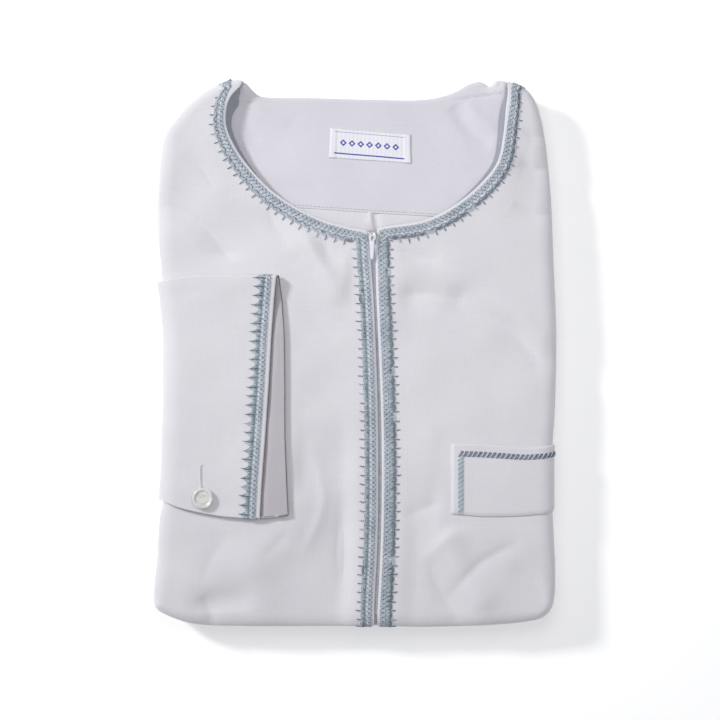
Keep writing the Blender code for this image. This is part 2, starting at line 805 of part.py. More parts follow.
def seam_place(share):
    start, end = np.array(SEAM_LEFT), np.array(SEAM_RIGHT)
    start = beside_neck(-1, 2, start)[-1]
    end = beside_neck(1, 2, end)[-1]
    place = start + (end - start) * share
    return place - np.array([0.0, SEAM_MIDDLE_DROP * 4 * share * (1 - share)])


def back_yoke(material):
    """The yoke, from its seam to the neck edge, where it rolls over to the outside."""
    left = beside_neck(-1, YOKE_ROWS, SEAM_LEFT)
    right = beside_neck(1, YOKE_ROWS, SEAM_RIGHT)
    start = OUTLINE.nearest(*LEFT_SHOULDER) - 2.0
    end = OUTLINE.nearest(*RIGHT_SHOULDER) + 2.0
    stations = np.linspace(start, end, YOKE_COLUMNS)
    top_edge = [flat_point(s) for s in stations]
    left[0], right[0] = top_edge[0], top_edge[-1]
    shares = np.linspace(0.0, 1.0, YOKE_COLUMNS)
    seam = [seam_place(share) for share in shares]
    grid = []
    for i in range(YOKE_ROWS):
        v = i / (YOKE_ROWS - 1)
        row = []
        for j, u in enumerate(shares):
            ruled = left[i] + (right[i] - left[i]) * u
            from_top = top_edge[j] - (left[0] + (right[0] - left[0]) * u)
            from_seam = seam[j] - (left[-1] + (right[-1] - left[-1]) * u)
            x, y = ruled + from_top * (1 - v) + from_seam * v
            row.append((x, y, float(neck_top(x, y))))
        grid.append(row)
    rolled = [
        [roll_point(s, degrees, 0.0, neck_top) for s in stations] for degrees in YOKE_ROLL_ANGLES
    ]
    return grid_object("back_yoke", rolled[::-1] + grid, material)


def back_panel(material):
    """The back below the yoke's seam, as far as it shows over the top of the zip."""
    left_end = LEFT_NECK.nearest(*SEAM_LEFT)
    right_end = RIGHT_NECK.nearest(*SEAM_RIGHT)
    shares = np.linspace(0.02, 0.98, PANEL_COLUMNS_BACK)
    below = []
    for share in shares:
        if share < 0.5:
            row, normal = LEFT_NECK.at(left_end * (1 - 2 * share))
            below.append(row[:2] - normal * UNDER_FRONT)
        else:
            row, normal = RIGHT_NECK.at(right_end * (2 * share - 1))
            below.append(row[:2] + normal * UNDER_FRONT)
    below = [point - np.array([0.0, 3.5 * math.sin(math.pi * u)]) for point, u in zip(below, shares)]
    grid = []
    for i in range(PANEL_ROWS):
        v = i / (PANEL_ROWS - 1)
        row = []
        for j, share in enumerate(shares):
            top = seam_place(share) - np.array([0.0, SEAM_GAP])
            x, y = top + (below[j] - top) * v
            row.append((x, y, float(neck_top(x, y))))
        grid.append(row)
    return grid_object("back_panel", grid, material)


FACING_ROWS = 9
FACING_TABLE = {
    # length down from the shoulder, how far the lower edge shows inside the neck edge
    -1: [(5.0, 6.6), (12.0, 5.6), (22.0, 3.4), (34.0, 2.6), (48.0, 1.6), (60.0, 0.6)],
    1: [(4.0, 1.9), (11.0, 2.9), (19.0, 3.7), (30.0, 2.9), (58.0, 2.0), (80.0, 0.6)],
}
FACING_UNDER = 1.8


def neck_facing(side, material):
    """The facing's edge, which slopes from under the raised neck edge down to the yoke."""
    line = LEFT_NECK if side < 0 else RIGHT_NECK
    lengths, shows = np.array(FACING_TABLE[side]).T
    grid = []
    for down in np.linspace(lengths[0], lengths[-1], FACING_ROWS):
        row, normal = line.at(line.length - down)
        way = -normal if side < 0 else normal
        top = row[:2] + way * FACING_UNDER
        foot = row[:2] - way * np.interp(down, lengths, shows)
        high = float(front_top(*top)) - CLOTH - LYING_GAP - 0.15
        low = float(neck_top(*foot)) + LYING_GAP + THIN_CLOTH + 0.3
        cells = []
        for share in (0.0, 0.5, 1.0):
            x, y = top + (foot - top) * share
            cells.append((x, y, high + (low - high) * share))
        grid.append(cells)
    word = "left" if side < 0 else "right"
    return grid_object(f"neck_facing_{word}", grid, material, THIN_CLOTH)


LABEL_CORNERS = ((-15.4, 134.5), (32.9, 130.3), (33.2, 112.9), (-16.1, 116.3))
LABEL_ROWS = 4
LABEL_COLUMNS = 8


def neck_label(material):
    """The woven label, sewn flat to the yoke."""
    top_left, top_right, low_right, low_left = (np.array(corner) for corner in LABEL_CORNERS)
    grid = []
    for v in np.linspace(0.0, 1.0, LABEL_ROWS):
        row = []
        for u in np.linspace(0.0, 1.0, LABEL_COLUMNS):
            upper = top_left + (top_right - top_left) * u
            lower = low_left + (low_right - low_left) * u
            x, y = upper + (lower - upper) * v
            row.append((x, y, float(neck_top(x, y)) + LYING_GAP + 0.1))
        grid.append(row)
    return grid_object("neck_label", grid, material, THIN_CLOTH, outward=True)


# ---------------------------------------------------------------- sleeve and cuff

# The flattened sleeve's upper and lower folds, from the mouth to the left edge: x, y
SLEEVE_TOP_FOLD = [(-46.6, 46.4), (-75.0, 46.9), (-100.6, 46.8), (-117.0, 43.2)]
SLEEVE_LOW_FOLD = [(-44.0, -99.4), (-63.5, -101.4), (-80.6, -99.9), (-102.0, -94.6), (-117.0, -89.2)]
# The mouth's two layers: y, x of the upper one, x of the lower one
MOUTH_ROWS = [
    (46.4, -47.0, -46.4),
    (30.0, -48.6, -44.2),
    (9.0, -50.2, -42.8),
    (-20.0, -51.8, -42.5),
    (-49.0, -53.8, -42.5),
    (-78.0, -56.0, -41.4),
    (-99.4, -57.2, -40.4),
]
# How far apart the layers are, by distance from the mouth: distance, at the top fold, in the middle
SLEEVE_HOLLOW = [(0.0, 3.8, 1.8), (12.0, 3.5, 1.5), (30.0, 2.6, 1.1), (64.0, 0.9, 0.7)]
SLEEVE_STEPS = (0.0, 1.6, 5.2, 9.0, 20.0, 34.0, 50.0)
SLEEVE_ROLL_ANGLES = (90.0, 60.0, 30.0, 0.0)
SLEEVE_FOOT_LEVELS = (8.0, 3.6)
SLEEVE_ACROSS = 10
SLEEVE_LIFT = 0.6
FOLD_TURNS = 3


def sleeve_share(k):
    """Places across the sleeve from its lower fold to its upper one, closer together at the folds."""
    return 0.5 - 0.5 * math.cos(math.pi * k / (SLEEVE_ACROSS - 1)) * 0.94


def table_at(rows, at, column):
    rows = sorted(rows)
    return float(np.interp(at, [row[0] for row in rows], [row[column] for row in rows]))


def sleeve_edges(x):
    return table_at(SLEEVE_LOW_FOLD, x, 1), table_at(SLEEVE_TOP_FOLD, x, 1)


def sleeve_section(station):
    """One ring of the sleeve: its outer loop and its inner loop, as (x, y, height over the front).

    The loops run along the lower layer from the low fold to the top fold, and back along the upper.
    """
    distance, x_inset, squeeze = station
    loops = []
    for wall in (0.0, THIN_CLOTH):
        loop = []
        for upper in (False, True):
            order = range(SLEEVE_ACROSS) if not upper else range(SLEEVE_ACROSS - 1, -1, -1)
            for k in order:
                share = sleeve_share(k)
                y_guess = -99.0 + 145.0 * share
                mouth = table_at(MOUTH_ROWS, y_guess, 1 if upper else 2)
                x = mouth - distance if x_inset is None else x_inset
                low, high = sleeve_edges(x)
                y = low + (high - low) * share
                reach = max(0.0, -47.0 - x)
                at_fold = table_at(SLEEVE_HOLLOW, reach, 1)
                in_middle = table_at(SLEEVE_HOLLOW, reach, 2)
                near_top = math.exp(-(((high - y) / 16.0) ** 2))
                hollow = (in_middle + (at_fold - in_middle) * near_top) * squeeze
                height = 2 * THIN_CLOTH + hollow - wall if upper else wall
                loop.append((x, y, height))
            bottom_height = loop[-1][2]
            fold = loop[-1]
            outward = 1.0 if not upper else -1.0
            other = 2 * THIN_CLOTH + hollow - wall if not upper else wall
            swell = abs(other - bottom_height) / 2
            next_x = fold[0]
            if x_inset is None:
                share_y = table_at(MOUTH_ROWS, fold[1], 2 if upper else 1)
                next_x = share_y - distance
            for turn in range(1, FOLD_TURNS + 1):
                angle = math.pi * turn / (FOLD_TURNS + 1)
                mix = (1 - math.cos(angle)) / 2
                loop.append(
                    (
                        fold[0] + (next_x - fold[0]) * mix,
                        fold[1] + outward * swell * math.sin(angle),
                        bottom_height + (other - bottom_height) * mix,
                    )
                )
        loops.append(loop)
    return loops


def sleeve_rings():
    """All rings of the sleeve in space, outer and inner, from the mouth round the left edge."""
    outer_rings, inner_rings = [], []
    for distance in SLEEVE_STEPS:
        section = sleeve_section((distance, None, 1.0))
        for rings, loop in zip((outer_rings, inner_rings), section):
            ring = []
            for x, y, height in loop:
                base = float(front_top(x, y)) + SLEEVE_LIFT
                ring.append((x, y, base + height))
            rings.append(ring)
    left_x = -113.0 + 9.0
    for degrees in SLEEVE_ROLL_ANGLES:
        section = sleeve_section((0.0, left_x, 0.5 + 0.5 * degrees / 90.0))
        for rings, loop in zip((outer_rings, inner_rings), section):
            ring = []
            for x, y, height in loop:
                s = left_station(y)
                ring.append(roll_point(s, degrees, SLEEVE_LIFT + height))
            rings.append(ring)
    for level in SLEEVE_FOOT_LEVELS:
        section = sleeve_section((0.0, left_x, 0.5))
        for rings, loop in zip((outer_rings, inner_rings), section):
            ring = []
            for x, y, height in loop:
                point = roll_point(left_station(y), 0.0, SLEEVE_LIFT + height)
                ring.append((point[0], point[1], level))
            rings.append(ring)
    return outer_rings, inner_rings


def left_station(y):
    """The length along the outline at which its left side has this y."""
    dense = OUTLINE.points
    side = dense[(dense[:, 0] < -100.0) & (np.abs(dense[:, 1]) < 135.0)]
    order = np.argsort(side[:, 1])
    x = np.interp(y, side[order, 1], side[order, 0])
    guess = OUTLINE.nearest(x, y)
    for _ in range(4):
        guess += OUTLINE.at(guess)[0][1] - y
    return guess


def sleeve(material):
    outer, inner = sleeve_rings()
    rows, count = len(outer), len(outer[0])
    points = [point for ring in outer + inner for point in ring]
    inner_start = rows * count
    faces = [tuple(reversed(face)) for face in grid_faces(rows, count, closed=True)]
    for face in grid_faces(rows, count, closed=True):
        faces.append(tuple(inner_start + i for i in face))
    for j in range(count):
        k = (j + 1) % count
        faces.append((j, k, inner_start + k, inner_start + j))
        last = (rows - 1) * count
        faces.append((last + k, last + j, inner_start + last + j, inner_start + last + k))
    return new_object("sleeve", points, faces, material)


def upper_layer(rings, steps):
    """The upper layer's outer points on the given rings of the sleeve, low fold to top fold."""
    first = SLEEVE_ACROSS + FOLD_TURNS
    return [[rings[i][first + k] for k in range(SLEEVE_ACROSS)][::-1] for i in steps]


def trim_cuff(material):
    """The braid along the cuff's mouth, lifted off the sleeve's own points."""
    outer, _ = sleeve_rings()
    strip = moved_out(upper_layer(outer, (1, 2, 3)), LYING_GAP)
    return grid_object("trim_cuff", strip, material, TRIM_THICK, outward=True)


BUTTON_PLACE = (-91.0, -87.4)
BUTTON_PROFILE = [
    # radius, height
    (0.0, 0.0),
    (4.6, 0.0),
    (6.0, 0.7),
    (6.35, 1.5),
    (6.0, 2.2),
    (5.2, 2.4),
    (4.3, 2.0),
    (3.4, 1.5),
    (1.8, 1.4),
    (0.0, 1.7),
]
BUTTON_SEGMENTS = 24


def cuff_button(material):
    """The cuff's button, fastened, flat on the sleeve."""
    x, y = BUTTON_PLACE
    outer, _ = sleeve_rings()
    surface = np.array([point for row in upper_layer(outer, range(3, 9)) for point in row])
    away = np.hypot(surface[:, 0] - x, surface[:, 1] - y)
    close = surface[np.argsort(away)[:8]]
    base = close[:, 2].max() + LYING_GAP
    points, faces = [], []
    turns = [2 * math.pi * i / BUTTON_SEGMENTS for i in range(BUTTON_SEGMENTS)]
    for radius, height in BUTTON_PROFILE[1:-1]:
        points += [
            (x + radius * math.cos(t), y + radius * math.sin(t), base + height) for t in turns
        ]
    faces = grid_faces(len(BUTTON_PROFILE) - 2, BUTTON_SEGMENTS, closed=True)
    low, high = len(points), len(points) + 1
    points += [(x, y, base), (x, y, base + BUTTON_PROFILE[-1][1])]
    last = (len(BUTTON_PROFILE) - 3) * BUTTON_SEGMENTS
    for i in range(BUTTON_SEGMENTS):
        k = (i + 1) % BUTTON_SEGMENTS
        faces.append((low, k, i))
        faces.append((high, last + i, last + k))
    return new_object("cuff_button", points, faces, material)


# ---------------------------------------------------------------- pocket

# From the left edge to where the pocket rolls over the right side: x, y of the mouth, y of the seam
POCKET_COLUMNS = [
    (57.2, -55.6, -96.8),
    (61.1, -55.4, -97.2),
    (64.1, -55.3, -97.4),
    (75.0, -55.6, -98.3),
    (88.0, -56.6, -98.3),
    (101.0, -57.6, -97.8),
    (111.2, -57.2, -96.8),
]
POCKET_ROWS = (0.0, 3.9, 6.9, 17.0, 29.0, 41.0)
POCKET_ROLL_ANGLES = (60.0, 30.0, 0.0, -30.0)
POCKET_ROLL_Y = (-55.8, -95.4)
POCKET_TRIM = (1, 2)


def right_station(y):
    """The length along the outline at which its right side has this y."""
    guess = OUTLINE.nearest(120.3, y)
    for _ in range(4):
        guess += y - OUTLINE.at(guess)[0][1]
    return guess


def pocket_points():
    """The pocket's grid: a row for each column of its plan, then over the right side's roll."""
    grid = []
    depth = POCKET_ROWS[-1]
    for x, mouth, seam in POCKET_COLUMNS:
        row = []
        for down in POCKET_ROWS:
            y = mouth + (seam - mouth) * down / depth
            row.append((x, y, float(front_top(x, y)) + LYING_GAP))
        grid.append(row)
    for degrees in POCKET_ROLL_ANGLES:
        row = []
        for down in POCKET_ROWS:
            y = POCKET_ROLL_Y[0] + (POCKET_ROLL_Y[1] - POCKET_ROLL_Y[0]) * down / depth
            row.append(roll_point(right_station(y), degrees, LYING_GAP + 0.1))
        grid.append(row)
    return np.array(grid)


def pocket_welt(material):
    return grid_object("pocket_welt", pocket_points(), material, THIN_CLOTH, outward=True)


def trim_pocket(material):
    """The narrow zigzag braid along the pocket's mouth and its left edge, mitred at the corner."""
    grid = moved_out(pocket_points(), THIN_CLOTH + LYING_GAP)
    first, second = POCKET_TRIM
    along_mouth = [[tuple(row[first]), tuple(row[second])] for row in grid[second + 1 :]]
    corner = [tuple(grid[first][first]), tuple(grid[second][second])]
    strip = along_mouth[::-1] + [corner]
    strip += [[tuple(grid[first][j]), tuple(grid[second][j])] for j in range(second + 1, 6)]
    return grid_object("trim_pocket", strip, material, TRIM_THICK, outward=True)


# ---------------------------------------------------------------- zip

CHAIN_HALF = 2.1
CHAIN_THICK = 1.3
TAPE_HALF = 9.0
ZIP_SINK = CLOTH + LYING_GAP
ZIP_LOW_ANGLES = (62.0, 30.0, 0.0, -24.0)
ZIP_STRIP_ROWS = 15
CHAIN_TOP = 62.0
TAPE_TOP = 68.6


def zip_strip(name, offsets, top_y, thickness, material):
    """A strip that follows the zip, under the fronts and over the bottom fold."""
    grid = []
    for degrees in ZIP_LOW_ANGLES[::-1]:
        row = []
        for offset in offsets:
            s = bottom_station(float(zip_middle(-160.0)) + offset)
            row.append(roll_point(s, degrees, -ZIP_SINK))
        grid.append(row)
    for y in np.linspace(-155.2, top_y, ZIP_STRIP_ROWS):
        row = []
        for offset in offsets:
            x = float(zip_middle(y)) + offset
            row.append((x, y, float(front_top(x, y)) - ZIP_SINK))
        grid.append(row)
    return grid_object(name, grid, material, thickness)


SLIDER_PLACE = (9.6, 68.7)
SLIDER_PLATE = (5.4, 7.2, 1.0)
SLIDER_STEM = (2.4, 3.6)
SLIDER_LIFT = 0.5
BAIL_WIDTH = 1.0
BAIL_OUTER = (4.4, 2.5)
BAIL_INNER = (2.2, 1.7)
HINGE_HEIGHT = 0.85
PULL_BAR = 0.7


def box_points(low, high):
    return [
        (x, y, z) for z in (low[2], high[2]) for x, y in
        ((low[0], low[1]), (high[0], low[1]), (high[0], high[1]), (low[0], high[1]))
    ]


BOX_FACES = [(3, 2, 1, 0), (4, 5, 6, 7), (0, 1, 5, 4), (1, 2, 6, 5), (2, 3, 7, 6), (3, 0, 4, 7)]


def cutter(obj):
    obj.hide_render = True
    obj.display_type = "WIRE"
    return obj


def join_solid(obj, other):
    boolean = obj.modifiers.new("join", "BOOLEAN")
    boolean.operation = "UNION"
    boolean.solver = "EXACT"
    boolean.object = other


def plate_level():
    x, y = SLIDER_PLACE
    return float(front_top(x, y)) + SLIDER_LIFT


def hinge_point():
    x, y = SLIDER_PLACE
    return np.array([x, y, plate_level() + SLIDER_PLATE[2] + HINGE_HEIGHT])


def zip_slider(material):
    """The slider: its plate over the cloth, a stem down to the teeth and a bail for the pull."""
    x, y = SLIDER_PLACE
    width, length, thick = SLIDER_PLATE
    low = plate_level()
    plate = new_object(
        "zip_slider",
        box_points((x - width / 2, y - length / 2, low), (x + width / 2, y + length / 2, low + thick)),
        BOX_FACES,
        material,
    )
    stem_x = float(zip_middle(y))
    stem = box_points(
        (stem_x - SLIDER_STEM[0] / 2, y - SLIDER_STEM[1] / 2, low - 2.9),
        (stem_x + SLIDER_STEM[0] / 2, y + SLIDER_STEM[1] / 2, low + thick / 2),
    )
    join_solid(plate, cutter(new_object("slider_stem", stem, BOX_FACES, material)))
    base = low + thick
    half_out, high_out = BAIL_OUTER[0] / 2, BAIL_OUTER[1]
    half_in, high_in = BAIL_INNER[0] / 2, BAIL_INNER[1]
    profile = [
        (half_out, -thick / 2), (half_out, high_out * 0.6), (half_out * 0.6, high_out),
        (-half_out * 0.6, high_out), (-half_out, high_out * 0.6), (-half_out, -thick / 2),
        (-half_in, -thick / 2), (-half_in, high_in * 0.8), (-half_in * 0.7, high_in),
        (half_in * 0.7, high_in), (half_in, high_in * 0.8), (half_in, -thick / 2),
    ]
    points = []
    for side in (-0.5, 0.5):
        points += [(x + side * BAIL_WIDTH, y + along, base + up) for along, up in profile]
    count = len(profile)
    faces = [tuple(range(count)), tuple(reversed(range(count, 2 * count)))]
    for i in range(count):
        k = (i + 1) % count
        faces.append((k, i, count + i, count + k))
    bail = new_object("slider_bail", points, faces, material)
    fix_normals(bail)
    join_solid(plate, cutter(bail))
    return plate


def fix_normals(obj):
    shape = bmesh.new()
    shape.from_mesh(obj.data)
    bmesh.ops.recalc_face_normals(shape, faces=shape.faces)
    shape.to_mesh(obj.data)
    shape.free()


PULL_ROWS = [
    # distance from the hinge towards the hem, half width, how far below the hinge
    (-0.35, 1.55, 0.0),
    (0.35, 1.55, 0.0),
    (2.9, 1.5, 0.1),
    (4.4, 1.4, 0.3),
    (9.0, 1.1, 0.9),
    (12.6, 0.85, 1.4),
    (13.6, 0.45, 1.5),
]
PULL_WINDOW_HALF = 0.8


def zip_pull(material):
    """The pull tab, lying in the gap below the slider. Its origin is on its hinge."""
    hinge = hinge_point()
    points, faces = [], []
    for along, half, below in PULL_ROWS:
        inner = min(PULL_WINDOW_HALF, half * 0.5)
        for x in (-half, -inner, inner, half):
            points.append((x, -along, -below + PULL_BAR / 2))
    for i in range(len(PULL_ROWS) - 1):
        for j in range(3):
            if i == 1 and j == 1:
                continue
            faces.append((4 * i + j, 4 * i + j + 1, 4 * i + j + 5, 4 * i + j + 4))
    pull = cloth_object("zip_pull", points, faces, material, PULL_BAR)
    pull.location = tuple(hinge * MM)
    return pull


# ---------------------------------------------------------------- the whole robe


def clear_scene():
    for obj in list(bpy.data.objects):
        bpy.data.objects.remove(obj, do_unlink=True)


def main():
    clear_scene()
    cotton = simple_material("white_cotton", (0.80, 0.79, 0.83), 0.85)
    inner_cotton = simple_material("inner_cotton", (0.74, 0.73, 0.78), 0.85)
    braid = simple_material("braid", (0.30, 0.36, 0.42), 0.6)
    ribbon = simple_material("ribbon", (0.85, 0.85, 0.88), 0.5)
    tape = simple_material("zip_tape", (0.80, 0.81, 0.86), 0.8)
    metal = simple_material("zip_metal", (0.72, 0.73, 0.75), 0.3, 1.0)
    enamel = simple_material("enamel", (0.88, 0.89, 0.93), 0.35)
    shell = simple_material("button_shell", (0.82, 0.82, 0.80), 0.25)

    folded_layers(cotton)
    for side, word in ((-1, "left"), (1, "right")):
        front_panel(f"front_{word}", side, cotton)
        trim_strips(side, braid)
        neck_facing(side, inner_cotton)
    back_yoke(cotton)
    back_panel(cotton)
    neck_label(ribbon)
    sleeve(cotton)
    trim_cuff(braid)
    cuff_button(shell)
    pocket_welt(cotton)
    trim_pocket(braid)
    zip_strip("zip_chain", (-CHAIN_HALF, CHAIN_HALF), CHAIN_TOP, CHAIN_THICK, tape)
    edge = CHAIN_HALF + SEAM_GAP
    zip_strip("zip_tape_left", (-TAPE_HALF, -edge), TAPE_TOP, THIN_CLOTH, tape)
    zip_strip("zip_tape_right", (edge, TAPE_HALF), TAPE_TOP, THIN_CLOTH, tape)
    zip_slider(metal)
    zip_pull(enamel)


main()
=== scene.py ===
"""The looks of a folded white thobe: cotton cloth, traditional braid, zip, button and label.

Tables and functions are in millimetres, as in the solids' own source, and become metres where a mesh
is made. X runs to the right, Y towards the collar and Z up; the folded robe lies on Z = 0.
"""

import math
import json

import bpy
import numpy as np
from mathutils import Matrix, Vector

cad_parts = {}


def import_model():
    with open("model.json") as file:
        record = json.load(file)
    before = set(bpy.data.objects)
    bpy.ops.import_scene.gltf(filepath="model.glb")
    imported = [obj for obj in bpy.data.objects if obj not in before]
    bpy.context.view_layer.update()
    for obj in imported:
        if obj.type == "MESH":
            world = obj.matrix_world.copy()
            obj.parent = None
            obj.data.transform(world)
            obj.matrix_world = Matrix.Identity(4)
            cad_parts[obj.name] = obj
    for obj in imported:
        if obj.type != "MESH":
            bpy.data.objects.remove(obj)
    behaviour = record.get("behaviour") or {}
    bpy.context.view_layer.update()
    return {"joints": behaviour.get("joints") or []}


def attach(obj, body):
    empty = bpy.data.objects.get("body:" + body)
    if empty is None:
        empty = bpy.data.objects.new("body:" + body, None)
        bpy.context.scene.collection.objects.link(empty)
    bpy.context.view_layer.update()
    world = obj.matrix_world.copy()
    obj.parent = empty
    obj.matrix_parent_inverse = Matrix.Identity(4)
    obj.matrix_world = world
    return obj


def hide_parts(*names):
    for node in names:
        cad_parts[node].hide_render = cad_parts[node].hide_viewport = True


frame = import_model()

MM = 0.001

# Heights of the fold
CLOTH = 1.2
EDGE_TOP = 22.6
CROWN = 2.4
HALF_WIDTH = 121.0
HALF_LENGTH = 165.0
TUCK_LEVEL = 13.5
CORE_DROP = 3.7
CORE_GAP = 1.3
CORE_STEP_START = 7.0
CORE_STEP_REACH = 8.0
NECK_RIM = 0.8
NECK_RIM_REACH = 6.0
NECK_PLAIN = 2.0
NECK_FADE = 16.0
NECK_DROP_AT_ZIP = 3.1
NECK_DROP_AT_BACK = 7.0
NECK_DROP_START = 76.0
NECK_DROP_REACH = 70.0
SHOULDER_RISE = 4.5
SHOULDER_RISE_REACH = 8.0

# The braid beside every finished edge: a loop column, a dense band, and spikes beyond it
TRIM_MARGIN = 1.4
LOOPS_WIDTH = 3.8
TRIM_WIDTH = 7.4
SPIKE_REACH = 10.8
TRIM_SHARE_AT_SHOULDER = 0.86
BRAID_TURN_REACH = 9.0
SHOULDER_FAN = 22.0

# Tables by side have -1 for the left front and 1 for the right one
SIDE_WORD = {-1: "left", 1: "right"}

# The outline seen from above, anticlockwise from the zip: x, y, width of the rolled edge
BOTTOM_AND_RIGHT_ROWS = [
    (14.5, -164.6, 9.0), (41.5, -165.1, 9.0), (68.5, -164.4, 9.0), (88.0, -163.4, 8.0),
    (104.0, -161.6, 6.5), (112.0, -159.4, 5.0), (117.2, -154.3, 5.0), (119.2, -147.0, 6.0),
    (119.8, -134.0, 8.0), (118.9, -112.0, 9.0), (118.2, -97.0, 9.0), (118.2, -55.0, 9.0),
    (119.2, -40.0, 9.0), (120.4, 8.0, 9.0), (118.6, 55.0, 9.0), (117.2, 91.0, 9.0),
    (114.8, 118.0, 9.0), (111.6, 138.0, 7.0), (108.0, 149.5, 5.0), (103.0, 156.6, 4.0),
]
COLLAR_ROWS = [
    (95.0, 160.8, 3.5), (88.0, 162.8, 3.2), (84.6, 162.9, 2.6), (82.4, 160.8, 2.6), (80.2, 159.4, 3.0),
    (77.6, 161.2, 3.2), (74.0, 162.3, 3.5), (68.0, 160.8, 3.5), (60.0, 156.4, 3.5), (50.0, 153.0, 3.5),
    (38.0, 151.4, 3.5), (10.0, 151.6, 3.5), (-26.0, 152.6, 3.5), (-50.0, 152.9, 3.5),
    (-58.0, 153.9, 3.5), (-62.5, 157.6, 3.5), (-66.2, 161.6, 3.2), (-70.5, 163.0, 3.2),
    (-78.0, 161.6, 4.0), (-90.5, 155.8, 5.5),
]
LEFT_AND_BOTTOM_ROWS = [
    (-101.0, 147.4, 6.5), (-109.0, 138.0, 6.5), (-113.6, 131.6, 6.5), (-116.0, 121.0, 8.0),
    (-118.7, 91.0, 9.0), (-118.6, 72.0, 9.0), (-116.9, 53.0, 9.0), (-115.2, 36.0, 9.0),
    (-112.9, 10.0, 9.0), (-112.3, -17.0, 9.0), (-113.2, -53.0, 9.0), (-114.8, -86.0, 9.0),
    (-117.4, -99.0, 9.0), (-119.2, -125.0, 9.0), (-121.1, -146.0, 7.0), (-119.8, -153.6, 5.0),
    (-111.4, -158.8, 6.0), (-96.0, -163.4, 7.0), (-66.4, -164.6, 9.0), (-33.0, -164.7, 9.0),
]
# The hidden layers' plainer edge under the collar
LAYER_COLLAR_ROWS = [
    (94.0, 159.4, 3.6), (80.0, 158.6, 3.5), (64.0, 156.4, 3.5), (46.0, 152.6, 3.5), (10.0, 151.4, 3.5),
    (-26.0, 152.2, 3.5), (-50.0, 153.0, 3.5), (-66.0, 157.4, 3.5), (-78.0, 158.6, 4.0),
    (-90.0, 154.8, 5.5),
]
# Places on the outline by side, between which a front's rows are spread
CORNER = {-1: (-117.5, -156.0), 1: (115.2, -157.5)}
SHOULDER = {-1: (-67.0, 162.2), 1: (91.6, 161.9)}
TOP_CORNER = {-1: (-107.0, 141.2), 1: (104.4, 155.0)}
SIDE_BY_ZIP_TOP = {-1: (-116.0, 45.0), 1: (119.0, 45.0)}

# The finished neck edge of each front, from the top of the zip to the shoulder: x, y
NECKLINE = {
    -1: [
        (6.6, 72.4), (-3.0, 74.2), (-19.1, 78.6), (-35.3, 86.3), (-49.7, 95.9), (-61.7, 108.0),
        (-71.7, 121.7), (-77.4, 135.5), (-76.6, 148.0), (-73.1, 154.0), (-68.8, 157.4),
    ],
    1: [
        (12.9, 73.8), (23.6, 75.7), (34.4, 77.0), (44.6, 79.9), (56.4, 85.8), (72.5, 98.4),
        (84.2, 112.7), (88.4, 131.3), (90.0, 146.0), (91.2, 153.6), (91.4, 158.6),
    ],
}

# The braid's inner edge where it leaves the neck edge for the shoulder: x, y
BRAID_TOP = {
    -1: [(-78.8, 145.4), (-78.0, 150.7), (-76.5, 155.7), (-74.6, 159.2)],
    1: [(91.7, 144.2), (92.8, 152.0), (93.0, 157.8)],
}

# The zip, from its top to the bottom fold: y, middle x, gap between the two fronts
ZIP_ROWS = [
    (73.0, 9.8, 6.2), (67.0, 10.0, 3.6), (55.0, 10.4, 2.7), (31.0, 11.6, 1.6), (7.0, 12.7, 1.6),
    (-41.0, 14.3, 1.9), (-89.0, 14.5, 2.0), (-119.0, 13.8, 1.9), (-143.0, 12.6, 2.0),
    (-166.0, 11.5, 1.7),
]

# Soft folds in the fronts: start x, y, end x, y, sideways bend, half width, height
FOLDS = [
    (24.0, 31.0, 62.0, 32.0, 4.0, 9.0, -0.9),
    (64.0, 30.0, 110.0, -4.0, 3.0, 9.0, -1.2),
    (98.0, 112.0, 117.0, 99.0, 0.0, 9.0, -1.0),
    (-110.0, 88.0, -78.0, 55.0, 5.0, 10.0, -1.2),
    (-34.0, 76.0, -12.0, 38.0, -2.0, 9.0, 1.1),
    (-36.0, -92.0, -60.0, -126.0, 6.0, 12.0, 1.0),
    (-90.0, -151.0, -70.0, -148.0, 0.0, 9.0, -1.1),
    (56.0, -108.0, 74.0, -148.0, -4.0, 9.0, 1.0),
    (-16.0, -70.0, -24.0, -158.0, 4.0, 30.0, -1.5),
    (30.0, -112.0, 26.0, -158.0, 4.0, 26.0, -0.7),
]
FOLDS_START_FROM_ZIP = 12.0
FOLDS_FADE = 12.0
# Where the fronts lie smooth, under the sleeve and under the pocket: x low, x high, y low, y high
SMOOTH_BOXES = [
    (-125.0, -40.0, -104.0, 50.0),
    (54.0, 125.0, -102.0, -52.0),
]


# ---------------------------------------------------------------- curves in plan


def smooth_curve(rows, per_span=10, closed=False):
    """Points on a smooth curve through the rows. Columns after x and y are carried along."""
    rows = np.array(rows, float)
    if closed:
        ring = np.vstack([rows[-1:], rows, rows[:2]])
    else:
        ring = np.vstack([2 * rows[:1] - rows[1:2], rows, 2 * rows[-1:] - rows[-2:-1]])
    steps = np.sqrt(np.linalg.norm(np.diff(ring[:, :2], axis=0), axis=1))
    knots = np.concatenate([[0.0], np.cumsum(steps)])
    points = []
    for i in range(1, len(ring) - 2):
        k0, k1, k2, k3 = knots[i - 1 : i + 3]
        p0, p1, p2, p3 = ring[i - 1 : i + 3]
        k = np.linspace(k1, k2, per_span, endpoint=False)[:, None]
        a = ((k1 - k) * p0 + (k - k0) * p1) / (k1 - k0)
        b = ((k2 - k) * p1 + (k - k1) * p2) / (k2 - k1)
        c = ((k3 - k) * p2 + (k - k2) * p3) / (k3 - k2)
        d = ((k2 - k) * a + (k - k0) * b) / (k2 - k0)
        e = ((k3 - k) * b + (k - k1) * c) / (k3 - k1)
        points.append(((k2 - k) * d + (k - k1) * e) / (k2 - k1))
    if not closed:
        points.append(rows[-1:])
    return np.vstack(points)


def unit(vectors):
    return vectors / np.linalg.norm(vectors, axis=-1, keepdims=True)


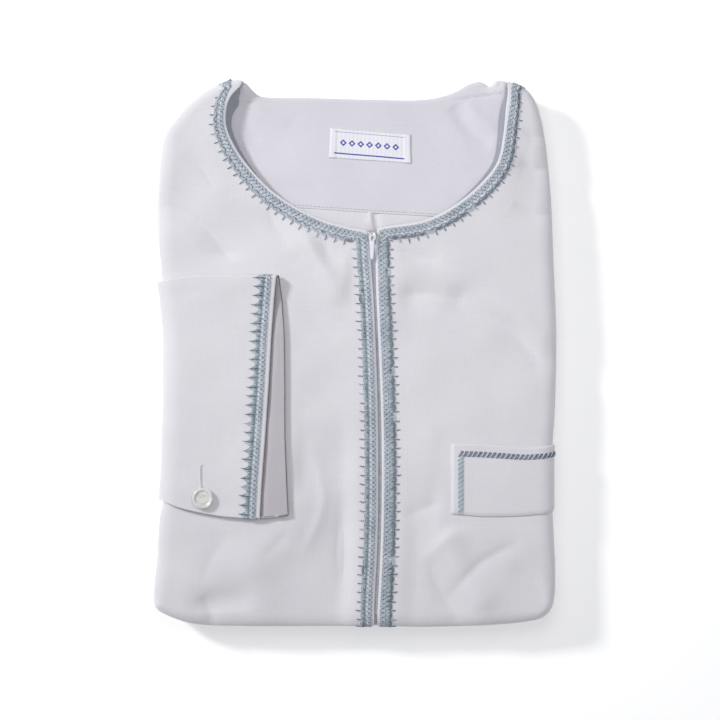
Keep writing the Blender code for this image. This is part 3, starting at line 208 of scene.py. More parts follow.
def lengths_along(path):
    """The length from a path's start to each of its points."""
    steps = np.linalg.norm(np.diff(path, axis=0), axis=1)
    return np.concatenate([[0.0], np.cumsum(steps)])


class Line:
    """A dense curve in plan, read by the length along it. Its normal is on the right of its travel."""

    def __init__(self, points, closed=False):
        self.closed = closed
        self.points = np.vstack([points, points[:1]]) if closed else np.array(points)
        self.lengths = lengths_along(self.points[:, :2])
        self.length = self.lengths[-1]
        if closed:
            ahead = np.roll(points[:, :2], -1, axis=0)
            behind = np.roll(points[:, :2], 1, axis=0)
            tangents = np.vstack([ahead - behind, (ahead - behind)[:1]])
        else:
            tangents = np.gradient(self.points[:, :2], axis=0)
        tangents = unit(tangents)
        self.normals = np.stack([tangents[:, 1], -tangents[:, 0]], axis=1)

    def at(self, s):
        """Rows and normals at the lengths s, one or many."""
        s = np.asarray(s, float)
        s = s % self.length if self.closed else s.clip(0.0, self.length)
        row = np.stack([np.interp(s, self.lengths, column) for column in self.points.T], axis=-1)
        normal = np.stack([np.interp(s, self.lengths, column) for column in self.normals.T], axis=-1)
        return row, unit(normal)

    def nearest(self, x, y):
        return self.lengths[np.hypot(self.points[:, 0] - x, self.points[:, 1] - y).argmin()]

    def between(self, start, end, count):
        """Lengths from start to end, closer together where the curve turns."""
        span = end - start
        if self.closed and span != self.length:
            span %= self.length
        samples = np.linspace(0.0, span, 400)
        normals = self.at(start + samples)[1]
        turning = np.linalg.norm(np.diff(normals, axis=0), axis=1)
        weight = np.concatenate([[0.0], np.cumsum(span / 400 + 12.0 * turning)])
        even = np.linspace(0.0, weight[-1], count)
        return start + np.interp(even, weight, samples)


def nearest_on(path, x, y):
    """For each place (x, y): its distance to a polyline, the side it is on, and the share of the way."""
    x, y = np.asarray(x, float), np.asarray(y, float)
    places = np.stack([x.ravel(), y.ravel()], axis=-1)
    start, along = path[:-1, :2], np.diff(path[:, :2], axis=0)
    square = (along * along).sum(-1)
    away = np.empty(len(places))
    side = np.empty(len(places))
    share = np.empty(len(places))
    for low in range(0, len(places), 4000):
        block = places[low : low + 4000, None, :] - start
        t = ((block * along).sum(-1) / square).clip(0.0, 1.0)
        gap = block - t[..., None] * along
        distance = np.linalg.norm(gap, axis=-1)
        best = distance.argmin(-1)
        rows = np.arange(len(best))
        away[low : low + 4000] = distance[rows, best]
        turn = along[best, 0] * gap[rows, best, 1] - along[best, 1] * gap[rows, best, 0]
        side[low : low + 4000] = np.sign(turn)
        share[low : low + 4000] = (best + t[rows, best]) / len(along)
    return away.reshape(x.shape), side.reshape(x.shape), share.reshape(x.shape)


def raised(plan, height):
    """Points in space from a plan and their heights."""
    return np.concatenate([plan, height[..., None]], axis=-1)


def over(top, plan):
    """Heights of a surface, given as a function of x and y, over a plan."""
    return top(plan[..., 0], plan[..., 1])


def inside(points, x, y):
    """Whether each place (x, y) is inside a closed polyline, by counting the edges above it."""
    x0, y0 = points[:-1, 0], points[:-1, 1]
    x1, y1 = points[1:, 0], points[1:, 1]
    px, py = x[..., None], y[..., None]
    spans = (x0 > px) != (x1 > px)
    level = y0 + (px - x0) * (y1 - y0) / np.where(x1 == x0, 1.0, x1 - x0)
    return (spans & (py < level)).sum(-1) % 2 == 1


def hump(away, width):
    return np.exp(-((away / width) ** 2))


def ease(t):
    t = np.clip(t, 0.0, 1.0)
    return t * t * (3.0 - 2.0 * t)


def outline_with(collar_rows):
    rows = BOTTOM_AND_RIGHT_ROWS + collar_rows + LEFT_AND_BOTTOM_ROWS
    return Line(smooth_curve(rows, 8, closed=True), closed=True)


OUTLINE = outline_with(COLLAR_ROWS)
LAYER_OUTLINE = outline_with(LAYER_COLLAR_ROWS)
NECK = {side: Line(smooth_curve(line)) for side, line in NECKLINE.items()}
ZIP_CURVE = smooth_curve([(x, y, gap) for y, x, gap in ZIP_ROWS])
ABOVE_NECK = 190.0
NECK_OPENING = np.vstack(
    [
        NECK[-1].points,
        [(-66.0, ABOVE_NECK), (91.0, ABOVE_NECK)],
        NECK[1].points[::-1],
        NECK[-1].points[:1],
    ]
)


def zip_middle(y):
    return np.interp(-np.asarray(y), -ZIP_CURVE[:, 1], ZIP_CURVE[:, 0])


def zip_gap(y):
    return np.interp(-np.asarray(y), -ZIP_CURVE[:, 1], ZIP_CURVE[:, 2])


# ---------------------------------------------------------------- the upper cloth as heights

# Creases in the fronts: start x, y, end x, y, sideways bend, half width, height, how lopsided
CREASES = [
    (22.0, 33.0, 66.0, 30.0, 3.0, 3.4, -0.45, 0.35),
    (66.0, 29.0, 112.0, -7.0, 4.5, 3.0, -0.60, -0.4),
    (72.0, 36.0, 116.0, 6.0, 3.0, 5.0, 0.35, 0.2),
    (97.0, 113.0, 119.0, 99.0, 1.5, 2.6, -0.55, 0.3),
    (94.0, 89.0, 121.0, 80.0, -2.0, 2.8, -0.45, -0.3),
    (98.0, 132.0, 113.0, 121.0, 1.0, 2.2, -0.35, 0.2),
    (22.0, 65.0, 52.0, 55.0, -3.0, 3.0, -0.40, 0.3),
    (40.0, 12.0, 84.0, -22.0, 4.0, 5.5, -0.30, 0.2),
    (-112.0, 89.0, -72.0, 49.0, 5.0, 3.2, -0.60, 0.4),
    (-115.0, 95.0, -76.0, 59.0, 4.0, 4.2, 0.40, -0.2),
    (-104.0, 118.0, -84.0, 96.0, 3.0, 3.4, -0.35, 0.3),
    (-33.0, 77.0, -9.0, 36.0, -2.5, 3.0, 0.45, 0.5),
    (-21.0, 71.0, -12.0, 50.0, -1.0, 2.2, -0.45, -0.3),
    (-4.5, 66.0, -7.0, 28.0, -1.0, 2.4, 0.35, 0.3),
    (-55.0, 94.0, -38.0, 62.0, -3.0, 3.6, -0.40, 0.3),
    (-38.0, 28.0, -12.0, 4.0, 2.0, 5.0, -0.30, 0.2),
    (-27.0, -52.0, -34.0, -126.0, 11.0, 4.2, 0.60, 0.3),
    (-7.5, -84.0, -7.0, -152.0, -1.5, 4.0, -0.65, 0.4),
    (-34.0, -88.0, -58.0, -126.0, 4.0, 4.4, -0.45, 0.3),
    (-93.0, -146.0, -84.0, -164.0, 1.0, 2.6, -0.60, 0.3),
    (-76.0, -110.0, -92.0, -140.0, -3.0, 5.0, -0.35, 0.2),
    (26.0, -101.0, 70.0, -88.0, 3.0, 3.8, -0.45, 0.3),
    (43.0, -124.0, 63.0, -160.0, -3.0, 3.2, -0.50, 0.3),
    (53.0, -150.0, 100.0, -112.0, 5.0, 3.4, -0.50, -0.4),
    (69.0, -92.0, 38.0, -126.0, 2.0, 4.2, 0.50, 0.3),
    (92.0, -128.0, 114.0, -150.0, 3.0, 4.0, -0.35, 0.2),
]
CREASE_GAIN = 2.9
CREASE_SPREAD = 1.3
CREASE_ROUND = 0.5
FOLD_GAIN = 1.8
CREASES_START_FROM_ZIP = 9.0
CREASES_FADE = 10.0
RIPPLE_SEED = 11
RIPPLE_COUNT = 12
RIPPLE_HEIGHT = 0.11
YOKE_RIPPLE_SHARE = 0.35
SLEEVE_RIPPLE_SHARE = 0.6
RIPPLES = np.random.default_rng(RIPPLE_SEED).uniform(size=(RIPPLE_COUNT, 4))


def dome(x, y):
    across = 1.0 - np.clip(np.abs(x) / HALF_WIDTH, 0.0, 1.0) ** 2
    along = 1.0 - np.clip(np.abs(y) / HALF_LENGTH, 0.0, 1.0) ** 2
    return EDGE_TOP + CROWN * across * along


def neck_distance(x, y):
    """How far outside the neck opening a place is; negative within it."""
    away = nearest_on(NECK_OPENING, x, y)[0]
    return np.where(inside(NECK_OPENING, x, y), -away, away)


def bent_path(x0, y0, x1, y1, bend):
    start, end = np.array([x0, y0]), np.array([x1, y1])
    side = np.array([y0 - y1, x1 - x0]) / np.linalg.norm(end - start)
    return smooth_curve([start, (start + end) / 2 + side * bend, end], 6)


def crease_heights(x, y):
    """Narrow creases: a crisp line, soft slopes beside it, fading out at both ends."""
    total = np.zeros_like(x)
    for x0, y0, x1, y1, bend, half_width, height, lopsided in CREASES:
        away, side, share = nearest_on(bent_path(x0, y0, x1, y1, bend), x, y)
        width = CREASE_SPREAD * half_width * (1.0 + lopsided * side)
        slope = np.exp(-(np.sqrt(away**2 + CREASE_ROUND**2) - CREASE_ROUND) / width)
        total += CREASE_GAIN * height * (1.0 - (2 * share - 1.0) ** 2) * slope
    return total


def ripple_heights(x, y):
    """The cloth's slight unevenness, as a few long waves."""
    total = np.zeros_like(x)
    for heading, length, phase, size in RIPPLES:
        angle, wave = math.pi * heading, 26.0 + 40.0 * length
        along = x * math.cos(angle) + y * math.sin(angle)
        total += RIPPLE_HEIGHT * (0.5 + size) * np.sin(2 * math.pi * (along / wave + phase))
    return total


def fold_heights(x, y):
    """The soft folds and creases, fading out beside the zip and under the sleeve and pocket."""
    folds = np.zeros_like(x)
    for x0, y0, x1, y1, bend, half_width, height in FOLDS:
        away = nearest_on(bent_path(x0, y0, x1, y1, bend), x, y)[0]
        folds += FOLD_GAIN * height * hump(away, half_width)
    from_zip = np.abs(x - zip_middle(y))
    folds *= ease((from_zip - FOLDS_START_FROM_ZIP) / FOLDS_FADE)
    folds += crease_heights(x, y) * ease((from_zip - CREASES_START_FROM_ZIP) / CREASES_FADE)
    folds += ripple_heights(x, y)
    for low_x, high_x, low_y, high_y in SMOOTH_BOXES:
        beyond = np.maximum(np.maximum(low_x - x, x - high_x), np.maximum(low_y - y, y - high_y))
        folds *= ease(beyond / CREASES_FADE)
    return folds


def front_top(x, y):
    """Height of the fronts' upper face."""
    x, y = np.asarray(x, float), np.asarray(y, float)
    away = np.clip(neck_distance(x, y), 0.0, None)
    near_neck = ease((away - NECK_PLAIN) / NECK_FADE)
    rim = NECK_RIM * hump(away, NECK_RIM_REACH)
    return dome(x, y) + rim + fold_heights(x, y) * near_neck


def neck_bed(x, y):
    """Height of the back cloth without its rise to the shoulders."""
    share = ease((y - NECK_DROP_START) / NECK_DROP_REACH)
    return dome(x, y) - NECK_DROP_AT_ZIP - (NECK_DROP_AT_BACK - NECK_DROP_AT_ZIP) * share


# Folds in the yoke and the back: start x, y, end x, y, sideways bend, half width, height
YOKE_FOLDS = [
    (-68.0, 148.0, -58.0, 124.0, -2.0, 4.0, -0.7),
    (-62.0, 150.0, -40.0, 136.0, -2.0, 3.4, 0.6),
    (58.0, 148.0, 82.0, 124.0, -3.0, 4.2, -1.3),
    (66.0, 150.0, 86.0, 134.0, -2.0, 3.4, 0.8),
    (-58.0, 104.0, -20.0, 98.0, -3.0, 6.0, -0.35),
    (40.0, 108.0, 66.0, 98.0, 3.0, 6.0, -0.35),
    (46.0, 128.0, 74.0, 112.0, 3.0, 5.0, 0.3),
]


def with_creases(total, creases, x, y):
    """Heights with soft creases added, which keep their height until near their ends."""
    for x0, y0, x1, y1, bend, half_width, height in creases:
        away, _, share = nearest_on(bent_path(x0, y0, x1, y1, bend), x, y)
        total = total + height * (1.0 - (2 * share - 1.0) ** 4) * hump(away, half_width)
    return total


def neck_top(x, y):
    """Height of the cloth of the back, seen inside the neck opening."""
    x, y = np.asarray(x, float), np.asarray(y, float)
    rise = YOKE_RIPPLE_SHARE * ripple_heights(x, y)
    for tip_x, tip_y in SHOULDER.values():
        away = np.hypot(x - tip_x, y - tip_y)
        rise = rise + SHOULDER_RISE * hump(away, SHOULDER_RISE_REACH)
    return neck_bed(x, y) + with_creases(rise, YOKE_FOLDS, x, y)


def core_top(x, y):
    """Height of the hidden layers: under the back cloth in the neck, under the fronts elsewhere."""
    share = ease((neck_distance(x, y) - CORE_STEP_START) / CORE_STEP_REACH)
    under_back = neck_bed(x, y) - CLOTH - CORE_GAP
    under_front = dome(x, y) - CORE_DROP
    return np.minimum(under_back * (1.0 - share) + under_front * share, under_front)


def roll_point(s, degrees, out=0.0, top=front_top):
    """Points on the rolled edge at lengths s of the outline, moved out along their normals.

    90 degrees is where the roll leaves the flat top, 0 is the outline and -90 the tuck underneath.
    """
    s, degrees, out = np.broadcast_arrays(*(np.asarray(part, float) for part in (s, degrees, out)))
    row, normal = OUTLINE.at(s)
    width = row[..., 2]
    flat = row[..., :2] - normal * width[..., None]
    high = over(top, flat)
    middle, half = (high + TUCK_LEVEL) / 2, (high - TUCK_LEVEL) / 2
    turn = np.radians(degrees)
    facing = np.stack([np.cos(turn) / width, np.sin(turn) / half])
    facing /= np.linalg.norm(facing, axis=0)
    xy = flat + normal * (width * np.cos(turn) + facing[0] * out)[..., None]
    return np.concatenate([xy, (middle + half * np.sin(turn) + facing[1] * out)[..., None]], axis=-1)


def station_at(value, axis, guess, way):
    """The length along the outline, near a guess, at which its x or y (axis 0 or 1) has this value."""
    for _ in range(6):
        guess = guess + way * (value - OUTLINE.at(guess)[0][..., axis])
    return guess


def bottom_station(x):
    x = np.asarray(x, float)
    return station_at(x, 0, OUTLINE.nearest(14.5, -164.6) + x - 14.5, 1.0)


def left_station(y):
    y = np.asarray(y, float)
    return station_at(y, 1, OUTLINE.nearest(-112.9, 10.0) - (y - 10.0), -1.0)


def right_station(y):
    y = np.asarray(y, float)
    return station_at(y, 1, OUTLINE.nearest(118.2, -76.0) + y + 76.0, 1.0)


# ---------------------------------------------------------------- meshes


def grid_faces(rows, columns, closed=False):
    """Faces between neighbouring rows of a grid whose points are listed row by row."""
    i, j = np.meshgrid(np.arange(rows - 1), np.arange(columns if closed else columns - 1), indexing="ij")
    k = (j + 1) % columns
    low, high = i * columns, (i + 1) * columns
    return np.stack([low + j, low + k, high + k, high + j], axis=-1).reshape(-1, 4)


def closed_rings(rings, low, high):
    """Points and faces of a solid from rings, bottom to top, closed by a fan at the points low and high."""
    count = len(rings[0])
    points = np.vstack([*rings, [low], [high]])
    faces = grid_faces(len(rings), count, closed=True).tolist()
    bottom, top, last = len(points) - 2, len(points) - 1, (len(rings) - 1) * count
    for i in range(count):
        k = (i + 1) % count
        faces += [(bottom, k, i), (top, last + i, last + k)]
    return points, faces


def grid_uv(grid):
    """Lengths along and across a grid, in metres, for its weave."""
    down = np.linalg.norm(np.diff(grid, axis=0), axis=-1)
    over = np.linalg.norm(np.diff(grid, axis=1), axis=-1)
    v = np.vstack([np.zeros((1, grid.shape[1])), np.cumsum(down, axis=0)])
    u = np.hstack([np.zeros((grid.shape[0], 1)), np.cumsum(over, axis=1)])
    return np.stack([u, v], axis=-1).reshape(-1, 2) * MM


def new_piece(name, points, faces, material, body="robe", uv=None):
    """A mesh piece from points in millimetres, riding on a body."""
    name = "fine_" + name
    mesh = bpy.data.meshes.new(name)
    mesh.from_pydata((np.asarray(points, float) * MM).tolist(), [], [list(face) for face in faces])
    mesh.materials.append(material)
    if uv is not None:
        corners = np.empty(len(mesh.loops), np.int32)
        mesh.loops.foreach_get("vertex_index", corners)
        layer = mesh.uv_layers.new(name="cloth")
        layer.uv.foreach_set("vector", np.asarray(uv, np.float32)[corners].ravel())
    mesh.validate()
    mesh.shade_smooth()
    obj = bpy.data.objects.new(name, mesh)
    bpy.context.scene.collection.objects.link(obj)
    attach(obj, body)
    return obj


def facing_up(points, faces):
    """The faces, turned over together if most of their area faces down."""
    points, faces = np.asarray(points), np.asarray(faces)
    a, b, c = (points[faces[:, i]] for i in range(3))
    return faces if np.cross(b - a, c - a)[:, 2].sum() > 0 else faces[:, ::-1]


def add_wall(obj, thickness, outward=False):
    wall = obj.modifiers.new("wall", "SOLIDIFY")
    wall.thickness = thickness * MM
    wall.offset = 1.0 if outward else -1.0
    wall.use_even_offset = False
    return obj


def cloth_piece(name, points, faces, material, thickness, uv=None, outward=False):
    """A wall of cloth: the given surface, thickened downwards, or outwards for what lies on it."""
    obj = new_piece(name, points, facing_up(points, faces), material, uv=uv)
    return add_wall(obj, thickness, outward)


def grid_piece(name, grid, material, thickness, outward=False):
    rows, columns = grid.shape[:2]
    points = grid.reshape(-1, 3)
    return cloth_piece(name, points, grid_faces(rows, columns), material, thickness, grid_uv(grid), outward)


def grid_normals(grid):
    """The ways off a grid of points, on its upper side."""
    normals = unit(np.cross(np.gradient(grid, axis=0), np.gradient(grid, axis=1)))
    return -normals if normals[..., 2].sum() < 0 else normals


def finer(grid, rows, columns):
    """The grid with more rows and columns, on smooth curves through its own."""
    for axis, count in ((0, rows), (1, columns)):
        grid = np.moveaxis(grid, axis, 0)
        n = len(grid)
        at = np.linspace(0.0, n - 1.0, count)
        low = np.minimum(at.astype(int), n - 2)
        t = (at - low).reshape((-1,) + (1,) * (grid.ndim - 1))
        padded = np.concatenate([2 * grid[:1] - grid[1:2], grid, 2 * grid[-1:] - grid[-2:-1]])
        p0, p1, p2, p3 = (padded[low + k] for k in range(4))
        grid = 0.5 * (
            2 * p1 + (p2 - p0) * t + (2 * p0 - 5 * p1 + 4 * p2 - p3) * t**2
            + (3 * p1 - p0 - 3 * p2 + p3) * t**3
        )
        grid = np.moveaxis(grid, 0, axis)
    return grid


# ---------------------------------------------------------------- fronts

ZIP_ROW_COUNT = 120
NECK_ROW_COUNT = 78
PANEL_LOW_END = -155.6
LOW_FADE_ROWS = 8 * ZIP_ROW_COUNT / 17
HIGH_FADE_ROWS = 3 * NECK_ROW_COUNT / 13
PANEL_COLUMN_COUNT = 54
EDGE_OFFSETS = (0.0, 0.25, 0.6, 1.0)
EDGE_DROP = 0.5
ROLL_ANGLES = (78, 66, 54, 42, 30, 18, 6, -6, -18, -30, -44, -58, -72, -84)
TUCK_DEPTH = 0.8
FRONT_CLOTH = 0.8
MITRE_REACH = 42.0
RELAX_ROUNDS = 40
# The braid's lines across it: its inner edge, the ends of the loops and of the band, and the spikes' reach
BRAID_LINES = np.array([0.0, LOOPS_WIDTH, TRIM_WIDTH, SPIKE_REACH])


def neck_way(side, normal):
    """The way off the neck opening, from a neck line's own normal."""
    return side * normal


def mitre_line(side):
    """The way of the cut between the zip's braid and the neck's, and the neck's part in it."""
    first_way = neck_way(side, NECK[side].at(0.0)[1])
    return np.array([side, 0.0]) + first_way, first_way


def braid_narrowing(s, length):
    """The braid's share of its width at the lengths s: it narrows towards the shoulder."""
    return 1.0 + (TRIM_SHARE_AT_SHOULDER - 1.0) * ease(s / length * 2 - 1)


def braid_line(side):
    """The braid's inner edge round the neck: the neck edge moved out, then its own way to the shoulder."""
    neck = NECK[side]
    top = BRAID_TOP[side]
    row, normal = neck.at(np.linspace(0.0, neck.nearest(*top[0]) - BRAID_TURN_REACH, 14))
    lower = row[:, :2] + neck_way(side, normal) * TRIM_MARGIN
    return Line(smooth_curve([tuple(point) for point in lower] + top, 6))


def inner_rows(side):
    """Each row's edge and the braid's lines, up the zip and round the neck."""
    zip_top = np.array(NECKLINE[side][0])
    neck = NECK[side]
    mitre, first_way = mitre_line(side)
    mitre = (mitre / (1.0 + np.dot([side, 0.0], first_way)))[None]

    def braided(edge, start, way, share, to_mitre):
        """Rows across the braid, turned towards the mitre by their shares to_mitre."""
        way = way + (mitre - way) * to_mitre[:, None]
        lines = start[:, None] + way[:, None] * (BRAID_LINES * share[:, None])[..., None]
        return np.concatenate([edge[:, None], lines], axis=1)

    shares = np.linspace(0.0, 1.0, ZIP_ROW_COUNT, endpoint=False)
    y = PANEL_LOW_END + (zip_top[1] - PANEL_LOW_END) * shares
    edge = np.stack([zip_middle(y) + side * zip_gap(y) / 2, y], axis=-1)
    way = np.tile([float(side), 0.0], (len(y), 1))
    to_mitre = ease(1.0 - (zip_top[1] - y) / MITRE_REACH)
    start = edge + (way + (mitre - way) * to_mitre[:, None]) * TRIM_MARGIN
    lower = braided(edge, start, way, np.ones(len(y)), to_mitre)
    corner = braided(zip_top[None], zip_top[None] + mitre * TRIM_MARGIN, mitre, np.ones(1), np.zeros(1))
    braid = braid_line(side)
    s = braid.between(0.0, braid.length, NECK_ROW_COUNT + 1)[1:]
    point, normal = braid.at(s)
    near = np.maximum.accumulate([neck.nearest(*place) for place in point])
    fan = ease((s - braid.length + SHOULDER_FAN) / SHOULDER_FAN)
    edge = neck.at(near + (neck.length - near) * fan)[0][:, :2]
    width_share = braid_narrowing(s, braid.length)
    upper = braided(edge, point, neck_way(side, normal), width_share, ease(1.0 - s / MITRE_REACH))
    return np.concatenate([lower, corner, upper])


def outer_stations(side):
    """The outline's length at the outer end of each row, from the bottom corner to the top one."""
    corner = OUTLINE.nearest(*CORNER[side])
    split = OUTLINE.nearest(*SIDE_BY_ZIP_TOP[side])
    top = OUTLINE.nearest(*TOP_CORNER[side])
    # The outline runs up the right side and down the left one
    lower = OUTLINE.between(*(corner, split)[::side], ZIP_ROW_COUNT + 1)[::side]
    upper = OUTLINE.between(*(split, top)[::side], NECK_ROW_COUNT + 1)[::side]
    return np.concatenate([lower, upper[1:]])


def flat_point(s):
    """Where the roll meets the flat top, in plan."""
    row, normal = OUTLINE.at(s)
    return row[..., :2] - normal * row[..., 2:3]


def front_plan(side):
    """Plan points of a front, row by row from the bottom, and the outline's lengths at its border."""
    rows = inner_rows(side)
    outer = outer_stations(side)
    shares = np.linspace(0.0, 1.0, PANEL_COLUMN_COUNT + 1)[1:]
    spread = rows[:, -1:] + (flat_point(outer) - rows[:, -1])[:, None] * shares[:, None]
    plan = np.concatenate([rows, spread], axis=1)
    bottom = bottom_station(rows[0, :, 0])
    span = (side * (outer[0] - bottom[-1])) % OUTLINE.length
    bottom = np.concatenate([bottom, bottom[-1] + side * span * shares])
    shoulder = OUTLINE.nearest(*SHOULDER[side])
    braid = OUTLINE.nearest(*plan[-1, 1])
    top = np.concatenate([[shoulder], braid - side * BRAID_LINES * TRIM_SHARE_AT_SHOULDER])
    top = np.concatenate([top, top[-1] - side * (side * (top[-1] - outer[-1])) * shares])
    last = len(plan) - 1
    i = np.arange(last + 1)
    low_fade = np.clip(1.0 - i / LOW_FADE_ROWS, 0.0, 1.0) ** 2
    high_fade = np.clip(1.0 - (last - i) / HIGH_FADE_ROWS, 0.0, 1.0) ** 2
    shift = low_fade[:, None, None] * (flat_point(bottom) - plan[0])
    shift = shift + high_fade[:, None, None] * (flat_point(top) - plan[last])
    shift[:, -1] = 0.0
    plan = plan + shift
    for _ in range(RELAX_ROUNDS):
        around = plan[:-2, 3:-1] + plan[2:, 3:-1] + plan[1:-1, 2:-2] + plan[1:-1, 4:]
        plan[1:-1, 3:-1] = (plan[1:-1, 3:-1] + around / 4) / 2
    border = np.concatenate([bottom, outer[1:], top[-2::-1]])
    return plan, border


def with_extra(lines):
    """A front's lines, or their stations, with more beside its edge and between those of the braid."""
    out = [lines[0] + (lines[1] - lines[0]) * offset / TRIM_MARGIN for offset in EDGE_OFFSETS]
    for k in (1, 2, 3):
        out += [lines[k], (lines[k] + lines[k + 1]) / 2]
    return np.array(out + list(lines[4:]))


def front_panel(side):
    """A front of the robe, rolled over the fold's edge all round."""
    word = SIDE_WORD[side]
    plan, border = front_plan(side)
    width = plan.shape[1]
    plan = np.ascontiguousarray(with_extra(plan.swapaxes(0, 1)).swapaxes(0, 1))
    z = over(front_top, plan)
    for k, offset in enumerate(EDGE_OFFSETS):
        z[:, k] -= EDGE_DROP * (1.0 - offset / TRIM_MARGIN) ** 2
    grid = raised(plan, z)
    low, high = with_extra(border[:width]), with_extra(border[::-1][:width])
    stations = np.concatenate([low, border[width:-width], high[::-1]])
    rings = np.array([roll_point(stations, degrees) for degrees in ROLL_ANGLES])
    tuck = rings[-1].copy()
    tuck[:, :2] -= OUTLINE.at(stations)[1] * TUCK_DEPTH
    rings = np.concatenate([rings, tuck[None]])
    rows, count = grid.shape[:2]
    points = np.vstack([grid.reshape(-1, 3), rings.reshape(-1, 3)])
    faces = grid_faces(rows, count).tolist()
    ring = list(range(count)) + [i * count + count - 1 for i in range(1, rows)]
    ring += [(rows - 1) * count + j for j in range(count - 2, -1, -1)]
    for k in range(len(rings)):
        fresh = list(range(rows * count + k * len(ring), rows * count + (k + 1) * len(ring)))
        faces += [(ring[i + 1], ring[i], fresh[i], fresh[i + 1]) for i in range(len(ring) - 1)]
        ring = fresh
    uv = points[:, :2] * MM
    piece = cloth_piece(f"front_{word}", points, faces, COTTON, FRONT_CLOTH, uv)
    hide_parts(f"front_{word}")
    return piece


# ---------------------------------------------------------------- threads and braid

TINY = 1e-9
UP = np.array([0.0, 0.0, 1.0])


class Threads:
    """Threads, as thin tubes gathered in one mesh. A slot is the place of a thread's material."""

    def __init__(self):
        self.points, self.faces, self.slots, self.count = [], [], [], 0

    def add(self, paths, ups, radius, sides, slot, ends=0.5):
        """Paths and the directions off the cloth along them, both (paths, points, 3)."""
        paths, ups = np.asarray(paths, float), np.asarray(ups, float)
        if paths.ndim == 2:
            paths, ups = paths[None], ups[None]
        many, length = paths.shape[:2]
        radius = np.broadcast_to(np.asarray(radius, float), (many, length)).copy()
        radius[:, 0] *= ends
        radius[:, -1] *= ends
        along = np.gradient(paths, axis=1)
        across = np.cross(along, ups)
        across /= np.linalg.norm(across, axis=-1, keepdims=True) + TINY
        above = np.cross(across, along)
        above /= np.linalg.norm(above, axis=-1, keepdims=True) + TINY
        turns = 2 * math.pi * (np.arange(sides) + 0.5) / sides
        ring = across[..., None, :] * np.cos(turns)[:, None] + above[..., None, :] * np.sin(turns)[:, None]
        points = paths[..., None, :] + ring * radius[..., None, None]
        self.points.append(points.reshape(-1, 3))
        one = grid_faces(length, sides, closed=True)[:, ::-1]
        starts = self.count + np.arange(many) * length * sides
        body = (one[None] + starts[:, None, None]).reshape(-1, 4).tolist()
        first = (np.arange(sides)[None] + starts[:, None]).tolist()
        last = ((length - 1) * sides + np.arange(sides)[::-1][None] + starts[:, None]).tolist()
        self.faces += body + first + last
        self.slots += [slot] * (len(body) + 2 * many)
        self.count += many * length * sides

    def add_strip(self, grid, slot):
        """A flat ground under the threads, as a grid of points facing off the cloth."""
        rows, columns = grid.shape[:2]
        faces = facing_up(grid.reshape(-1, 3), grid_faces(rows, columns))
        self.points.append(grid.reshape(-1, 3))
        self.faces += (faces + self.count).tolist()
        self.slots += [slot] * len(faces)
        self.count += rows * columns

    def piece(self, name, materials):
        obj = new_piece(name, np.vstack(self.points), self.faces, materials[0])
        for material in materials[1:]:
            obj.data.materials.append(material)
        obj.data.polygons.foreach_set("material_index", np.array(self.slots, np.int32))
        return obj


class Ribbon:
    """A strip of ground for a braid: read by the length s along it, t across it and h above it."""

    def __init__(self, grid, across):
        self.grid, self.across = grid, np.asarray(across, float)
        self.lengths = lengths_along(grid[:, len(across) // 2])
        self.length = self.lengths[-1]
        self.normals = grid_normals(grid)

    def at(self, s, t, h):
        """Points and the directions off the cloth."""
        s, t, h = np.broadcast_arrays(*(np.asarray(part, float) for part in (s, t, h)))
        row = np.interp(s, self.lengths, np.arange(len(self.lengths)))
        column = np.interp(t, self.across, np.arange(len(self.across)))
        i = np.minimum(row.astype(int), len(self.lengths) - 2)
        j = np.minimum(column.astype(int), len(self.across) - 2)
        u, v = (row - i)[..., None], (column - j)[..., None]
        found = []
        for table in (self.grid, self.normals):
            low = table[i, j] * (1 - v) + table[i, j + 1] * v
            high = table[i + 1, j] * (1 - v) + table[i + 1, j + 1] * v
            found.append(low * (1 - u) + high * u)
        point, normal = found[0], unit(found[1])
        return point + normal * h[..., None], normal


RIBBON_ACROSS = (-0.4, 1.7, 3.8, 5.6, 7.4, 9.1, 11.2)
PLACKET_OVER_FOLD = (84, 72, 60, 48, 36, 24, 12, 0, -12, -24, -36, -48, -60)
NECK_OVER_FOLD = (80, 70, 60, 50, 40, 30, 20, 10, 0, -10, -20, -30)
NECK_LEAD_IN = 12.0
PAST_MITRE = 2.0
TOP_SHIFT_REACH = 30.0


def placket_ribbon(side):
    """The ground beside the zip, from under the bottom fold to a little past the mitre."""
    across = np.array(RIBBON_ACROSS)
    zip_top = NECKLINE[side][0]
    y = np.linspace(PANEL_LOW_END, zip_top[1] + PAST_MITRE, 150)[:, None]
    x = zip_middle(y) + side * (zip_gap(y) / 2 + TRIM_MARGIN + across)
    y = np.broadcast_to(y, x.shape)
    flat = np.stack([x, y, front_top(x, y)], axis=-1)
    stations = bottom_station(x[0])
    rolled = np.array([roll_point(stations, degrees) for degrees in PLACKET_OVER_FOLD[::-1]])
    return Ribbon(np.concatenate([rolled, flat]), across)


